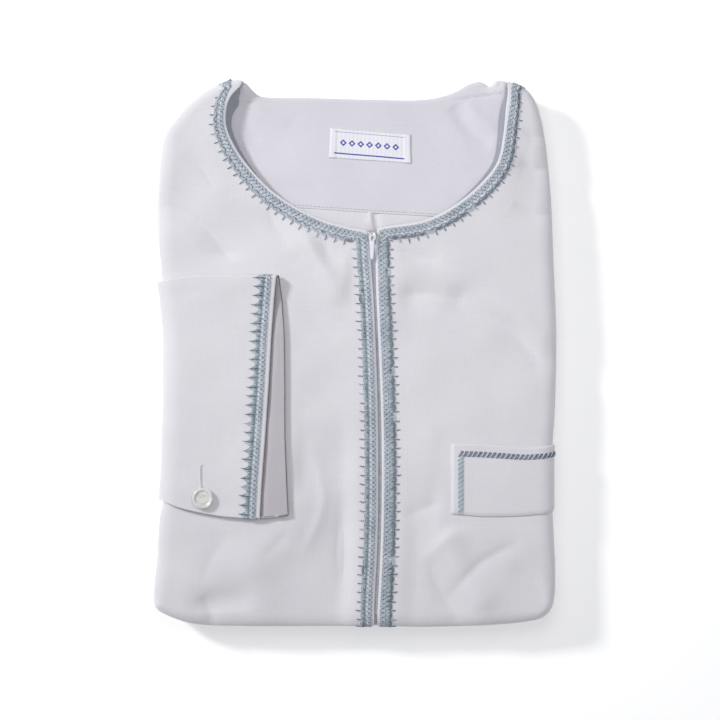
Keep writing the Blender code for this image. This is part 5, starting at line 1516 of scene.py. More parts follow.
# From its foot, over its rim, to its middle: radius, height
BUTTON_PROFILE = [
    (2.2, 0.0), (4.6, 0.0), (5.6, 0.45), (6.15, 0.95), (6.33, 1.45), (6.2, 1.95), (5.8, 2.3),
    (5.3, 2.4), (4.85, 2.28), (4.5, 2.02), (4.2, 1.75), (3.9, 1.62), (3.5, 1.6), (3.1, 1.72),
    (2.8, 1.78), (2.4, 1.72), (1.6, 1.6), (0.7, 1.58),
]
BUTTON_SEGMENTS = 72


def surface_height(x, y):
    """Height over the floor of the sleeve's upper layer at many places."""
    low, high = sleeve_folds(x)
    fade = ease(np.minimum(y - low, high - y) / (high - low) * 12.0)
    above = sleeve_hollow(x, y, high) + sleeve_relief(x, y) * fade
    return front_top(x, y) + SLEEVE_LIFT + 2 * SLEEVE_WALL + above


def cuff_button():
    """The cuff's plain pearl button, turned from its profile."""
    cx, cy = BUTTON_PLACE
    base = float(surface_height(np.array([cx]), np.array([cy]))[0]) + LYING_GAP
    turns = 2 * math.pi * np.arange(BUTTON_SEGMENTS) / BUTTON_SEGMENTS
    rings = []
    for radius, z in BUTTON_PROFILE:
        x, y = cx + radius * np.cos(turns), cy + radius * np.sin(turns)
        rings.append(np.stack([x, y, np.full(BUTTON_SEGMENTS, base + z)], axis=-1))
    points, faces = closed_rings(rings, (cx, cy, base), (cx, cy, base + BUTTON_PROFILE[-1][1]))
    piece = new_piece("cuff_button", points, faces, PEARL)
    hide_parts("cuff_button")
    return piece


BUTTONHOLE = ((-92.0, -80.6), (-92.2, -68.2))


def buttonhole():
    """The buttonhole: its satin edges, the bars at its ends, and its slit, a grey cord of painted shade."""
    threads = Threads()
    (x0, y0), (x1, y1) = BUTTONHOLE

    def stitch(points, radius, slot, lift=0.2):
        path = np.array([[x, y, 0.0] for x, y in points])
        path[:, 2] = surface_height(path[:, 0], path[:, 1]) + lift
        path[0, 2] -= lift
        path[-1, 2] -= lift
        threads.add(path, np.tile(UP, (len(path), 1)), radius, 4, slot)

    for share in np.arange(0.0, 1.0, 0.36 / (y1 - y0)):
        x, y = x0 + (x1 - x0) * share, y0 + (y1 - y0) * share
        for way in (-1.0, 1.0):
            edge = [(x + way * out, y + up) for out, up in ((0.14, 0.0), (0.5, 0.05), (0.85, 0.1))]
            stitch(edge, 0.17, 0, 0.08)
    for y in (y0 - 0.3, y1 + 0.3):
        for shift in np.arange(-0.5, 0.51, 0.25):
            stitch([(x1 - 1.35, y + shift), (x1, y + shift + 0.04), (x1 + 1.35, y + shift)], 0.17, 0, 0.16)
    slit = [(x0 + (x1 - x0) * share, y0 + (y1 - y0) * share) for share in np.linspace(0.03, 0.97, 14)]
    stitch(slit, 0.13, 1, 0.14)
    return threads.piece("buttonhole", [THREAD_WHITE, SLIT_PAINTED_SHADE])


# ---------------------------------------------------------------- pocket

# From the left edge to where the pocket rolls over the right side: x, y of the mouth, y of the seam
POCKET_COLUMNS = [
    (57.2, -55.6, -96.8), (61.1, -55.4, -97.2), (64.1, -55.3, -97.4), (75.0, -55.6, -98.3),
    (88.0, -56.6, -98.3), (101.0, -57.6, -97.8), (111.2, -57.2, -96.8),
]
POCKET_DEPTH = 41.0
POCKET_MIDDLE_ROWS = np.linspace(3.9, POCKET_DEPTH - 1.2, 34)
POCKET_ROWS = np.concatenate([[0.0, 0.3, 0.8, 1.6, 2.6], POCKET_MIDDLE_ROWS, [40.4, POCKET_DEPTH]])
POCKET_ROLL_ANGLES = (86, 78, 70, 62, 54, 46, 38, 30, 20, 10, 0, -10, -20, -30)
POCKET_LEFT = POCKET_COLUMNS[0][0]
POCKET_ROLL_START = 108.4
POCKET_ROLL_RELIEF = 110.0
# The y of its mouth and of its seam, where the roll starts and where it ends
POCKET_ROLL_Y = {"start": (-57.35, -97.0), "end": (-55.8, -95.4)}
POCKET_CLOTH = 0.8
POCKET_EDGE_DROP = 0.25
# The narrow braid: its depths below the mouth, and its lines down the left edge
POCKET_BRAID = (3.9, 6.9)
POCKET_BRAID_X = (60.8, 61.1, 62.6, 64.1, 64.4)
ROPE_WIDTH = 3.0
ROPE_PITCH = 2.8
ROPE_LEAN = 1.9


def pocket_relief(along, down):
    """How far the pocket stands off the front: more at its mouth, in soft waves, less at its seams."""
    arch = np.sin(math.pi * down / POCKET_DEPTH)
    relief = 0.3 * hump(along - 88.0, 14.0) * arch
    relief = relief + 0.18 * np.sin(along / 7.0) * arch
    relief += 0.15 * hump(down, 3.0)
    sewn = np.maximum(ease(1.0 - (along - POCKET_LEFT) / 1.6), ease(1.0 - (POCKET_DEPTH - down) / 1.8))
    return relief - 0.75 * sewn


def pocket_points(x, y, down):
    """Points of the pocket's cloth over the front, at the given depths below its mouth."""
    x, y, down = np.broadcast_arrays(x, y, down)
    return np.stack([x, y, front_top(x, y) + LYING_GAP + pocket_relief(x, down)], axis=-1)


def pocket_grid(downs):
    """Points of the pocket's cloth at these depths below its mouth: a row for each column of its plan."""
    table = smooth_curve(POCKET_COLUMNS, 9)
    table = table[table[:, 0] < POCKET_ROLL_START]
    x, mouth, seam = (column[:, None] for column in table.T)
    y = mouth + (seam - mouth) * downs / POCKET_DEPTH
    flat = pocket_points(x, y, downs)
    rolled = []
    out = LYING_GAP + pocket_relief(POCKET_ROLL_RELIEF, downs)
    for degrees in POCKET_ROLL_ANGLES:
        mix = math.cos(math.radians(degrees)) ** 2
        high, low = (POCKET_ROLL_Y["start"][k] * (1 - mix) + POCKET_ROLL_Y["end"][k] * mix for k in (0, 1))
        roll_y = high + (low - high) * downs / POCKET_DEPTH
        rolled.append(roll_point(right_station(roll_y), degrees, out))
    return np.concatenate([flat, np.array(rolled)])


def pocket_welt():
    """The pocket's outer cloth, its mouth's edge turned down a little."""
    grid = pocket_grid(POCKET_ROWS)
    grid[:, 0, 2] -= POCKET_EDGE_DROP
    piece = grid_piece("pocket_welt", grid, COTTON, POCKET_CLOTH, outward=True)
    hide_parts("pocket_welt")
    return piece


def lifted(grid, height):
    """A grid's points, moved off along its normals."""
    return grid + grid_normals(grid) * height


def rope_threads(threads, ribbon, start, end, seed, slots):
    """The pocket's narrow braid: slanted double strokes between two beaded edges."""
    rng = np.random.default_rng(seed)
    share = np.linspace(0.0, 1.0, 7)
    across, rise = ROPE_WIDTH * share, 0.14 + 0.3 * np.sin(math.pi * share)
    dark, other = slots
    for s0 in np.arange(start, end - ROPE_PITCH, ROPE_PITCH):
        lean = rng.normal(0.0, 0.1)
        for first, slot, radius in ((0.0, dark, 0.3), (0.95, other, 0.26), (1.9, PALE, 0.24)):
            s = np.minimum(s0 + lean + first + ROPE_LEAN * (1.0 - share), end)
            threads.add(*ribbon.at(s, across, rise), radius, 4, slot)
        for t, ahead in ((0.1, ROPE_LEAN), (ROPE_WIDTH - 0.1, 0.0)):
            s = np.minimum(s0 + lean + ahead + np.linspace(-0.75, 0.75, 5), end)
            threads.add(*ribbon.at(s, t, 0.3), 0.25, 4, dark)


def rope_ground(threads, ribbon, start, end, height):
    """The narrow braid's pale ground."""
    s = np.arange(start, end, GROUND_STEP)[:, None]
    across = np.linspace(-0.1, ROPE_WIDTH + 0.1, 4)[None]
    threads.add_strip(ribbon.at(s, across, height)[0], GROUND)


def trim_pocket():
    """The narrow braid along the pocket's mouth, and a paler one down its left edge."""
    threads = Threads()
    first, second = POCKET_BRAID
    downs = np.array([first - 0.3, first, first + 1.5, second, second + 0.3])
    mouth = lifted(pocket_grid(downs), POCKET_CLOTH)
    mouth = mouth[mouth[:, 1, 0] > POCKET_BRAID_X[1] - 0.1]
    ribbon = Ribbon(mouth, downs - first)
    low, high = 0.4, ribbon.length - 1.0
    rope_ground(threads, ribbon, low, high, 0.06)
    rope_threads(threads, ribbon, low, high, 31, (DARK, DARK))
    x = np.array(POCKET_BRAID_X)
    down = np.linspace(first + 0.4, POCKET_DEPTH - 1.0, 60)[:, None]
    columns = np.array(POCKET_COLUMNS[:3])
    mouth_y, seam_y = np.interp(x, columns[:, 0], columns[:, 1]), columns[1, 2]
    y = mouth_y + (seam_y - mouth_y) * down / POCKET_DEPTH
    side = Ribbon(lifted(pocket_points(x, y, down), POCKET_CLOTH), x - x[1])
    rope_ground(threads, side, 1.2, side.length, 0.05)
    rope_threads(threads, side, ROPE_WIDTH, side.length, 37, (DENSE, GROUND))
    piece = threads.piece("trim_pocket", BRAIDS)
    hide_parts("trim_pocket")
    return piece


# ---------------------------------------------------------------- zip

TAPE_HALF = 11.0
TAPE_INNER = 0.5
TAPE_CLOTH = 0.5
ZIP_FOOT = -160.0
ZIP_LOW_END = -155.2
ZIP_SINK = CLOTH + LYING_GAP
ZIP_LOW_ANGLES = (84, 72, 60, 48, 36, 24, 12, 0, -12, -24)
CHAIN_TOP = 63.5
TAPE_TOP = 68.6
COIL_PITCH = 1.2
TAPE_STITCH = 2.35


def zip_ribbon(across, top_y):
    """A strip that follows the zip, under the fronts and over the bottom fold."""
    across = np.asarray(across, float)
    stations = bottom_station(float(zip_middle(ZIP_FOOT)) + across)
    rolled = np.array([roll_point(stations, degrees, -ZIP_SINK) for degrees in ZIP_LOW_ANGLES[::-1]])
    y = np.linspace(ZIP_LOW_END, top_y, 140)[:, None]
    x = zip_middle(y) + across
    y = np.broadcast_to(y, x.shape)
    flat = np.stack([x, y, front_top(x, y) - ZIP_SINK], axis=-1)
    return Ribbon(np.concatenate([rolled, flat]), across)


def zip_tapes():
    """The zip's two tapes; the left one is greyer, painted shade from the left front's edge."""
    made = []
    for side, word, tape in ((-1, "left", TAPE_SHADED), (1, "right", TAPE)):
        across = np.sort(side * np.array([TAPE_INNER, 1.2, 2.4, 3.6, 5.4, 7.2, 9.2, TAPE_HALF]))
        grid = zip_ribbon(across, TAPE_TOP).grid
        piece = grid_piece(f"zip_tape_{word}", grid, tape, TAPE_CLOTH)
        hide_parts(f"zip_tape_{word}")
        made.append(piece)
    return made


def zip_chain():
    """Two rows of nylon coil, hooked into each other, and the two rows of stitches that hold them. The
    coil's grey is painted shade of the gap.
    """
    threads = Threads()
    ribbon = zip_ribbon(np.linspace(-3.0, 3.0, 7), CHAIN_TOP)
    turn = np.linspace(0.0, 2 * math.pi, 9)
    stitch = 0.1 + 0.14 * np.sin(np.linspace(0, math.pi, 5))
    count = int(ribbon.length / COIL_PITCH)
    for side in (-1.0, 1.0):
        first = COIL_PITCH * (np.arange(count)[:, None] + (0.25 if side > 0 else 0.75))
        s = first + COIL_PITCH * 0.28 * np.sin(turn)
        t = side * (0.75 - 0.95 * np.cos(turn))
        h = 0.42 + 0.42 * np.sin(turn / 2)
        threads.add(*ribbon.at(s, t, h), 0.26, 5, 0)
        line = np.arange(0.4, ribbon.length - 1.0, 1.7)[:, None] + np.linspace(0.0, 1.3, 5)
        threads.add(*ribbon.at(line, side * TAPE_STITCH, stitch), 0.16, 4, 1)
    piece = threads.piece("zip_chain", [NYLON_IN_PAINTED_SHADE, THREAD_WHITE])
    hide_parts("zip_chain")


SLIDER_PLACE = (9.6, 68.7)
SLIDER_HALF = (2.62, 3.5)
SLIDER_SQUARENESS = 0.62
STEM_HALF = np.array([1.15, 1.75])
STEM_LENGTH = 2.6
BAIL_POINTS = 15
BAIL_HEIGHT = 2.35
BAIL_RADIUS = 0.42
PLATE_THICK = 1.0
HINGE_HEIGHT = 0.85
PULL_BAR = 0.7


def hinge_point():
    """The pull's hinge, in millimetres."""
    joint = next(row for row in frame["joints"] if row["name"] == "pull_hinge")
    return np.array(joint["pos_m"]) / MM


def turned_plate(outline, low, high, bevel):
    """Points and faces of a plate with rounded rims, from its outline anticlockwise."""
    outline = np.asarray(outline, float)
    centre = outline.mean(axis=0)
    away = outline - centre
    reach = np.linalg.norm(away, axis=1, keepdims=True)
    some = bevel * 0.3
    rings = []
    for inset, z in ((bevel, low), (some, low + some), (0.0, low + bevel),
                     (0.0, high - bevel), (some, high - some), (bevel, high)):
        rings.append(np.column_stack([centre + away * (1.0 - inset / reach), np.full(len(outline), z)]))
    return closed_rings(rings, (*centre, low), (*centre, high))


def joined(parts):
    """The points and faces of several solids as those of one."""
    points, faces, start = [], [], 0
    for some_points, some_faces in parts:
        points.append(np.asarray(some_points))
        faces += [tuple(start + i for i in face) for face in some_faces]
        start += len(some_points)
    return np.vstack(points), faces


def zip_slider():
    """The slider: a rounded plate on a stem, and the arched bail for the pull."""
    x, y = SLIDER_PLACE
    hinge = hinge_point()
    low = hinge[2] - HINGE_HEIGHT - PLATE_THICK
    turns = np.linspace(0.0, 2 * math.pi, 48, endpoint=False)
    half = np.array(SLIDER_HALF)
    round_plan = np.stack([np.cos(turns), np.sin(turns)], axis=-1)
    plan = np.sign(round_plan) * np.abs(round_plan) ** SLIDER_SQUARENESS * half
    plan[:, 0] *= 1.0 - 0.14 * (plan[:, 1] < 0) * (plan[:, 1] / half[1]) ** 2
    stem = STEM_HALF * round_plan + (float(zip_middle(y)), y)
    parts = [
        turned_plate(plan + (x, y), low, low + PLATE_THICK, 0.28),
        turned_plate(stem, low - STEM_LENGTH, low + 0.3, 0.2),
    ]
    piece = new_piece("zip_slider", *joined(parts), METAL)
    arch = np.linspace(0.0, math.pi, BAIL_POINTS)
    height = low + PLATE_THICK - 0.25 + BAIL_HEIGHT * np.sin(arch) ** 0.8
    path = np.stack([np.full(BAIL_POINTS, x), y + STEM_HALF[1] * np.cos(arch), height], axis=-1)
    bail = Threads()
    bail.add(path, np.tile([1.0, 0.0, 0.0], (BAIL_POINTS, 1)), BAIL_RADIUS, 10, 0, ends=1.0)
    bail_piece = bail.piece("slider_bail", [METAL])
    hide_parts("zip_slider")


# Distance from the hinge towards the hem, half width, how far below the hinge
PULL_ROWS = [
    (-0.5, 1.15, 0.0),
    (-0.3, 1.45, 0.0),
    (0.35, 1.55, 0.0),
    (2.9, 1.5, 0.1),
    (4.4, 1.4, 0.3),
    (9.0, 1.1, 0.9),
    (12.6, 0.85, 1.4),
    (13.4, 0.6, 1.5),
    (13.6, 0.35, 1.52),
]
# The window in it: from and to, along the pull, and its half width
PULL_WINDOW = (0.5, 2.7, 0.8)
PULL_BEVEL = 0.12


def zip_pull():
    """The pull tab, lying in the gap below the slider, with the window that the bail goes through."""
    hinge = hinge_point()
    window_low, window_high, window_half = PULL_WINDOW
    rows = np.array(PULL_ROWS)
    along = np.concatenate([
        [-0.5, -0.42, -0.3, 0.0],
        np.linspace(window_low, window_high, 7),
        np.linspace(window_high, 13.2, 26)[1:],
        [13.4, 13.52, 13.6],
    ])
    half = np.interp(along, rows[:, 0], rows[:, 1])
    below = np.interp(along, rows[:, 0], rows[:, 2])
    window = np.minimum(window_half, half * 0.52)
    across = np.stack([-half, -0.94 * half, -(half + window) / 2, -window, 0 * half, window,
                       (half + window) / 2, 0.94 * half, half], axis=1)
    rim = np.array([0.14, 0.03, 0, 0, 0, 0, 0, 0.03, 0.14])
    x = hinge[0] + across
    y = hinge[1] - along[:, None] + 0 * across
    z = hinge[2] - below[:, None] + PULL_BAR / 2 - rim
    points = np.stack([x, y, z], axis=-1).reshape(-1, 3)
    columns = across.shape[1]
    middle = (along[:-1] + along[1:]) / 2
    faces = []
    for index, face in enumerate(grid_faces(len(along), columns).tolist()):
        row, column = divmod(index, columns - 1)
        if not (window_low < middle[row] < window_high and column in (3, 4)):
            faces.append(face)
    piece = new_piece("zip_pull", points, facing_up(points, faces), ENAMEL, "pull")
    add_wall(piece, PULL_BAR)
    bevel = piece.modifiers.new("bevel", "BEVEL")
    bevel.width = PULL_BEVEL * MM
    bevel.segments = 2
    bevel.limit_method = "ANGLE"
    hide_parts("zip_pull")


# ---------------------------------------------------------------- hidden layers

LAYER_STATIONS = 460
# The lower layers' folded edges: middle height, half height, width of the roll, how far in, phase
SUB_ROLLS = [
    (1.6, 1.6, 2.6, 1.3, 0.4),
    (5.05, 1.75, 2.8, 1.1, 1.3),
    (8.45, 1.6, 2.6, 1.4, 2.1),
    (11.6, 1.5, 2.6, 1.2, 3.4),
]
SUB_ANGLES = (-88, -72, -54, -36, -18, 0, 18, 36, 54, 72, 88)
# Waves of the layers' edges: height, how many round the fold
WANDER = ((0.6, 5), (0.35, 11), (0.14, 37))
LAYER_SWAY = 0.7
LAYERS_TOP = 13.1
CORE_GROOVE = 2.2
CORE_LEAST_INSET = 7.4
CORE_ANGLES = (-90, -60, -30, 0, 30, 60, 90)
CORE_BOTTOM = 16.5
# The rings on the solid's top and underside, as shares of the way in to its centre
TOP_RINGS = (0.03, 0.07, 0.13, 0.22, 0.34, 0.48, 0.62, 0.76, 0.88, 0.96)
UNDER_RINGS = (0.9, 0.5, 0.03)
LAYER_CENTRE = (2.0, 0.0)


def layer_wander(s, phase):
    """How much further in or out a lower layer's edge lies, along the fold."""
    turns = 2 * math.pi * s / LAYER_OUTLINE.length
    return sum(size * np.sin(waves * turns + k * phase) for k, (size, waves) in enumerate(WANDER, 1))


def layer_height(s, height):
    """A layer's height, which rises and sinks slowly along the garment's side."""
    turns = 2 * math.pi * s / LAYER_OUTLINE.length
    wave = 0.6 * np.sin(3 * turns + 1.0) + 0.4 * np.sin(7 * turns + 2.0)
    return height + LAYER_SWAY * math.sin(math.pi * height / LAYERS_TOP) * wave


def folded_layers():
    """The hidden layers as one rounded solid, with the folded edges of four of them at its sides."""
    stations = np.linspace(0.0, LAYER_OUTLINE.length, LAYER_STATIONS, endpoint=False)
    row, normal = LAYER_OUTLINE.at(stations)
    rings = []

    def ring(inset, height):
        xy = row[:, :2] - normal * np.broadcast_to(inset, stations.shape)[:, None]
        rings.append(np.column_stack([xy, np.broadcast_to(height, stations.shape)]))

    for middle, half, width, inward, phase in SUB_ROLLS:
        for degrees in SUB_ANGLES:
            turn = math.radians(degrees)
            inset = inward + layer_wander(stations, phase) + width * (1.0 - math.cos(turn))
            ring(inset, layer_height(stations, max(middle + half * math.sin(turn), 0.0)))
    deep = np.maximum(row[:, 2], CORE_LEAST_INSET)
    ring(deep + CORE_GROOVE, LAYERS_TOP)
    flat = row[:, :2] - normal * deep[:, None]
    top = over(core_top, flat)
    bottom = np.minimum(CORE_BOTTOM, (top + TUCK_LEVEL) / 2 + 0.3)
    for degrees in CORE_ANGLES:
        turn = math.radians(degrees)
        inset = deep - np.maximum(row[:, 2] - CORE_DROP, 0.5) * math.cos(turn)
        if degrees == CORE_ANGLES[0]:
            inset = deep + CORE_GROOVE
        ring(inset, (top + bottom) / 2 + (top - bottom) / 2 * math.sin(turn))
    rim = rings[-1]
    centre = np.array(LAYER_CENTRE)
    for share in TOP_RINGS:
        plan = rim[:, :2] + (centre - rim[:, :2]) * share
        rings.append(raised(plan, over(core_top, plan)))
    base = rings[0]
    level = np.zeros(len(base))
    under = []
    for share in UNDER_RINGS:
        under.append(np.column_stack([base[:, :2] + (centre - base[:, :2]) * share, level]))
    high = (*centre, float(core_top(centre[:1], centre[1:])[0]))
    points, faces = closed_rings(under + rings, (*centre, 0.0), high)
    piece = new_piece("folded_layers", points, faces, COTTON, uv=points[:, :2] * MM)
    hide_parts("folded_layers")
    return piece


# ---------------------------------------------------------------- materials


def srgb(red, green, blue):
    """A colour of 0-255 values as Blender's linear one."""
    linear = []
    for part in (red / 255, green / 255, blue / 255):
        linear.append(part / 12.92 if part <= 0.04045 else ((part + 0.055) / 1.055) ** 2.4)
    return (*linear, 1.0)


class Shader:
    """A node material under construction."""

    def __init__(self, name, roughness, metallic=0.0):
        self.material = bpy.data.materials.new(name)
        self.material.use_nodes = True
        self.tree = self.material.node_tree
        self.principled = self.tree.nodes["Principled BSDF"]
        self.set(Roughness=roughness, Metallic=metallic)

    def set(self, **values):
        for name, value in values.items():
            self.principled.inputs[name.replace("_", " ")].default_value = value

    def node(self, kind, **settings):
        node = self.tree.nodes.new(kind)
        for name, value in settings.items():
            if name in node.inputs:
                node.inputs[name].default_value = value
            else:
                setattr(node, name, value)
        return node

    def link(self, source, target):
        self.tree.links.new(source, target)

    def mapped(self, source="Object", scale=(1.0, 1.0, 1.0), angle=0.0):
        """Coordinates: the object's own, or the cloth's lengths, scaled and turned."""
        coordinates = self.node("ShaderNodeTexCoord")
        mapping = self.node("ShaderNodeMapping")
        mapping.inputs["Scale"].default_value = scale
        mapping.inputs["Rotation"].default_value[2] = angle
        self.link(coordinates.outputs[source], mapping.inputs["Vector"])
        return mapping.outputs["Vector"]

    def noise(self, vector, scale, detail=2.0):
        node = self.node("ShaderNodeTexNoise", Scale=scale, Detail=detail)
        self.link(vector, node.inputs["Vector"])
        return node.outputs["Fac"]

    def wave(self, vector, direction, scale):
        node = self.node("ShaderNodeTexWave", wave_type="BANDS", bands_direction=direction, Scale=scale)
        node.inputs["Detail Scale"].default_value = 2.0
        self.link(vector, node.inputs["Vector"])
        return node.outputs["Fac"]

    def math(self, operation, first, second=0.0):
        node = self.node("ShaderNodeMath", operation=operation)
        for place, value in enumerate((first, second)):
            if isinstance(value, (int, float)):
                node.inputs[place].default_value = value
            else:
                self.link(value, node.inputs[place])
        return node.outputs[0]

    def mixed(self, first, share, second, other_share):
        first = self.math("MULTIPLY", first, share)
        return self.math("ADD", first, self.math("MULTIPLY", second, other_share))

    def ramp(self, factor, stops):
        """A colour ramp from stops of a place and a colour of 0-255 values."""
        node = self.node("ShaderNodeValToRGB")
        elements = node.color_ramp.elements
        while len(elements) < len(stops):
            elements.new(0.5)
        for element, (place, colour) in zip(elements, stops):
            element.position = place
            element.color = srgb(*colour)
        self.link(factor, node.inputs["Fac"])
        return node.outputs["Color"]

    def colour(self, socket):
        self.link(socket, self.principled.inputs["Base Color"])

    def bump(self, height, strength, distance):
        node = self.node("ShaderNodeBump", Strength=strength, Distance=distance)
        self.link(height, node.inputs["Height"])
        self.link(node.outputs["Normal"], self.principled.inputs["Normal"])


# Texture scales in 1/m: the weave, the slubs along and across it, its clouds, and the threads' grain
WEAVE = 130.0
SLUB_WARP = (1400.0, 70.0, 1.0)
SLUB_WEFT = (60.0, 1300.0, 1.0)
COTTON_CLOUDS = 22.0
THREAD_GRAIN = 900.0
THREAD_TWIST = 150.0
TWIST_ANGLE = 0.8
# The label's drawing in metres, from its upper left corner: lines, and a row of hollow lozenges
LABEL_MIDDLE = 0.0243
LABEL_HALF_LINE = 0.0212
LABEL_HALF_ROW = 0.01842
LABEL_TOP_LINE = 0.0022
LABEL_LOW_LINE = 0.0152
LOZENGE_ROW = 0.0086
LOZENGES_PER_METRE = 190.0
LOZENGE_SLOPE = 0.0052
LOZENGE_OUTER = 0.0021
LOZENGE_INNER = 0.0009
LABEL_INK = (74, 84, 172)
FLOOR_GLOW = 0.25


def cotton_material(name, light, dark):
    """Plain-woven cotton: two crossed sets of threads, slubs along both, and a slow tint."""
    shader = Shader(name, 0.86)
    shader.set(Sheen_Weight=0.25, Sheen_Roughness=0.55, Specular_IOR_Level=0.25)
    vector = shader.mapped("UV")
    warp = shader.wave(vector, "X", WEAVE)
    weft = shader.wave(vector, "Y", WEAVE)
    slub_warp = shader.noise(shader.mapped("UV", SLUB_WARP), 1.0)
    slub_weft = shader.noise(shader.mapped("UV", SLUB_WEFT), 1.0)
    slow = shader.noise(shader.mapped(), COTTON_CLOUDS, 3.0)
    slubs = shader.math("ADD", slub_warp, slub_weft)
    threads = shader.math("MULTIPLY", shader.math("ADD", warp, weft), 0.5)
    mixed = shader.mixed(slubs, 0.22, slow, 0.36)
    shader.colour(shader.ramp(mixed, [(0.2, dark), (0.6, light)]))
    shader.bump(shader.mixed(threads, 0.5, slubs, 0.9), 0.2, 0.0002)
    return shader.material


def thread_material(name, light, dark):
    """Embroidery thread: a slight gloss, with twist and colour that change along it."""
    shader = Shader(name, 0.6)
    shader.set(Sheen_Weight=0.2, Sheen_Roughness=0.4, Specular_IOR_Level=0.4)
    fine = shader.noise(shader.mapped(), THREAD_GRAIN)
    slow = shader.noise(shader.mapped(), THREAD_GRAIN / 9)
    shader.colour(shader.ramp(shader.mixed(fine, 0.5, slow, 0.5), [(0.36, dark), (0.64, light)]))
    twist = shader.wave(shader.mapped(angle=TWIST_ANGLE), "DIAGONAL", THREAD_TWIST)
    shader.bump(shader.math("ADD", twist, fine), 0.5, 0.0001)
    return shader.material


def label_material():
    """A satin ribbon, white, with a plain row of woven blue lozenges between two blue lines."""
    shader = Shader("woven_ribbon", 0.55)
    shader.set(Sheen_Weight=0.2, Specular_IOR_Level=0.35)
    coordinates = shader.node("ShaderNodeTexCoord")
    parts = shader.node("ShaderNodeSeparateXYZ")
    shader.link(coordinates.outputs["UV"], parts.inputs[0])
    across, down = parts.outputs[0], parts.outputs[1]
    ribs = shader.wave(shader.mapped("UV"), "X", WEAVE)
    base = shader.ramp(ribs, [(0.0, (229, 229, 236)), (1.0, (236, 236, 242))])

    def away(value, centre):
        return shader.math("ABSOLUTE", shader.math("SUBTRACT", value, centre))

    def band(value, centre, half):
        return shader.math("LESS_THAN", away(value, centre), half)

    top_line = shader.math("MULTIPLY", band(down, LABEL_TOP_LINE, 0.00022), 0.55)
    low_line = band(down, LABEL_LOW_LINE, 0.00042)
    within = band(across, LABEL_MIDDLE, LABEL_HALF_LINE)
    start = shader.math("ADD", across, 0.5 / LOZENGES_PER_METRE - LABEL_MIDDLE + 0.1)
    placed = shader.math("MULTIPLY", start, LOZENGES_PER_METRE)
    cell = shader.math("SUBTRACT", shader.math("FRACT", placed), 0.5)
    slope = shader.math("MULTIPLY", shader.math("ABSOLUTE", cell), LOZENGE_SLOPE)
    reach = shader.math("ADD", slope, away(down, LOZENGE_ROW))
    lozenge = shader.math("LESS_THAN", reach, LOZENGE_OUTER)
    hollow = shader.math("GREATER_THAN", reach, LOZENGE_INNER)
    both = shader.math("MULTIPLY", lozenge, hollow)
    marks = shader.math("MULTIPLY", both, band(across, LABEL_MIDDLE, LABEL_HALF_ROW))
    lines = shader.math("MULTIPLY", shader.math("ADD", top_line, low_line), within)
    ink = shader.math("MINIMUM", shader.math("ADD", lines, marks), 1.0)
    mix = shader.node("ShaderNodeMix", data_type="RGBA")
    shader.link(ink, mix.inputs["Factor"])
    shader.link(base, mix.inputs[6])
    mix.inputs[7].default_value = srgb(*LABEL_INK)
    shader.colour(mix.outputs[2])
    shader.bump(ribs, 0.15, 0.00005)
    return shader.material


def pearl_material():
    """A milky shell button, with soft clouds and a clear gloss."""
    shader = Shader("button_shell", 0.22)
    shader.set(Coat_Weight=0.5, Coat_Roughness=0.12)
    clouds = shader.noise(shader.mapped(scale=(1.0, 1.4, 1.0)), 260.0, 3.0)
    shader.colour(shader.ramp(clouds, [(0.35, (206, 207, 203)), (0.62, (225, 225, 220))]))
    return shader.material


def metal_material():
    """The slider's pale metal, with fine scratches."""
    shader = Shader("zip_metal", 0.3, 1.0)
    scratches = shader.noise(shader.mapped(scale=(1.0, 6.0, 1.0)), 500.0, 3.0)
    shader.colour(shader.ramp(scratches, [(0.3, (150, 152, 158)), (0.7, (205, 206, 210))]))
    shader.bump(scratches, 0.15, 0.00005)
    return shader.material


def plain_material(name, light, dark, roughness, scale):
    """Nylon, enamel or the buttonhole's slit: one colour with faint clouds and grain. The slit's grey and
    the nylon's grey are painted shade.
    """
    shader = Shader(name, roughness)
    clouds = shader.noise(shader.mapped(), scale, 3.0)
    shader.colour(shader.ramp(clouds, [(0.35, dark), (0.65, light)]))
    shader.bump(clouds, 0.1, 0.00005)
    return shader.material


def floor_material():
    """A white studio table, lit a little from below, as the photo's bright ground is."""
    shader = Shader("floor", 0.9)
    clouds = shader.noise(shader.mapped(), 3.0, 3.0)
    shader.colour(shader.ramp(clouds, [(0.35, (249, 249, 249)), (0.65, (252, 252, 252))]))
    shader.set(Emission_Color=(1.0, 1.0, 1.0, 1.0), Emission_Strength=FLOOR_GLOW)
    return shader.material


COTTON = cotton_material("white_cotton", (227, 226, 230), (213, 212, 218))
# A slightly darker copy of the white cotton: painted shade for the yoke inside the neck
COTTON_PAINTED_SHADE_INSIDE = cotton_material("inside_cotton_painted_shade", (223, 221, 228), (208, 206, 214))
# A darker copy of the white cotton: painted shade for the sleeve's inside
SLEEVE_INSIDE_PAINTED_SHADE = cotton_material("sleeve_inside_painted_shade", (196, 191, 197), (181, 176, 183))
# The facing is of the white cloth; its grey-blue here is painted shade, for the facing in the shadow of the
# raised neck edges
FACING_PAINTED_SHADE = cotton_material("facing_cotton", (154, 158, 168), (140, 144, 155))
TAPE = cotton_material("zip_tape", (226, 228, 236), (208, 210, 221))
# A greyer copy of the white tape: painted shade in the gap under the left front's edge
TAPE_SHADED = cotton_material("zip_tape_painted_shade", (176, 179, 188), (160, 163, 173))
LABEL = label_material()
BRAID_GROUND = thread_material("braid_ground", (222, 226, 233), (200, 207, 217))
BRAID_DENSE = thread_material("braid_dense", (178, 194, 202), (150, 168, 179))
BRAID_DARK = thread_material("braid_dark", (118, 131, 146), (84, 97, 114))
BRAID_PALE = thread_material("braid_pale", (230, 235, 242), (204, 212, 223))
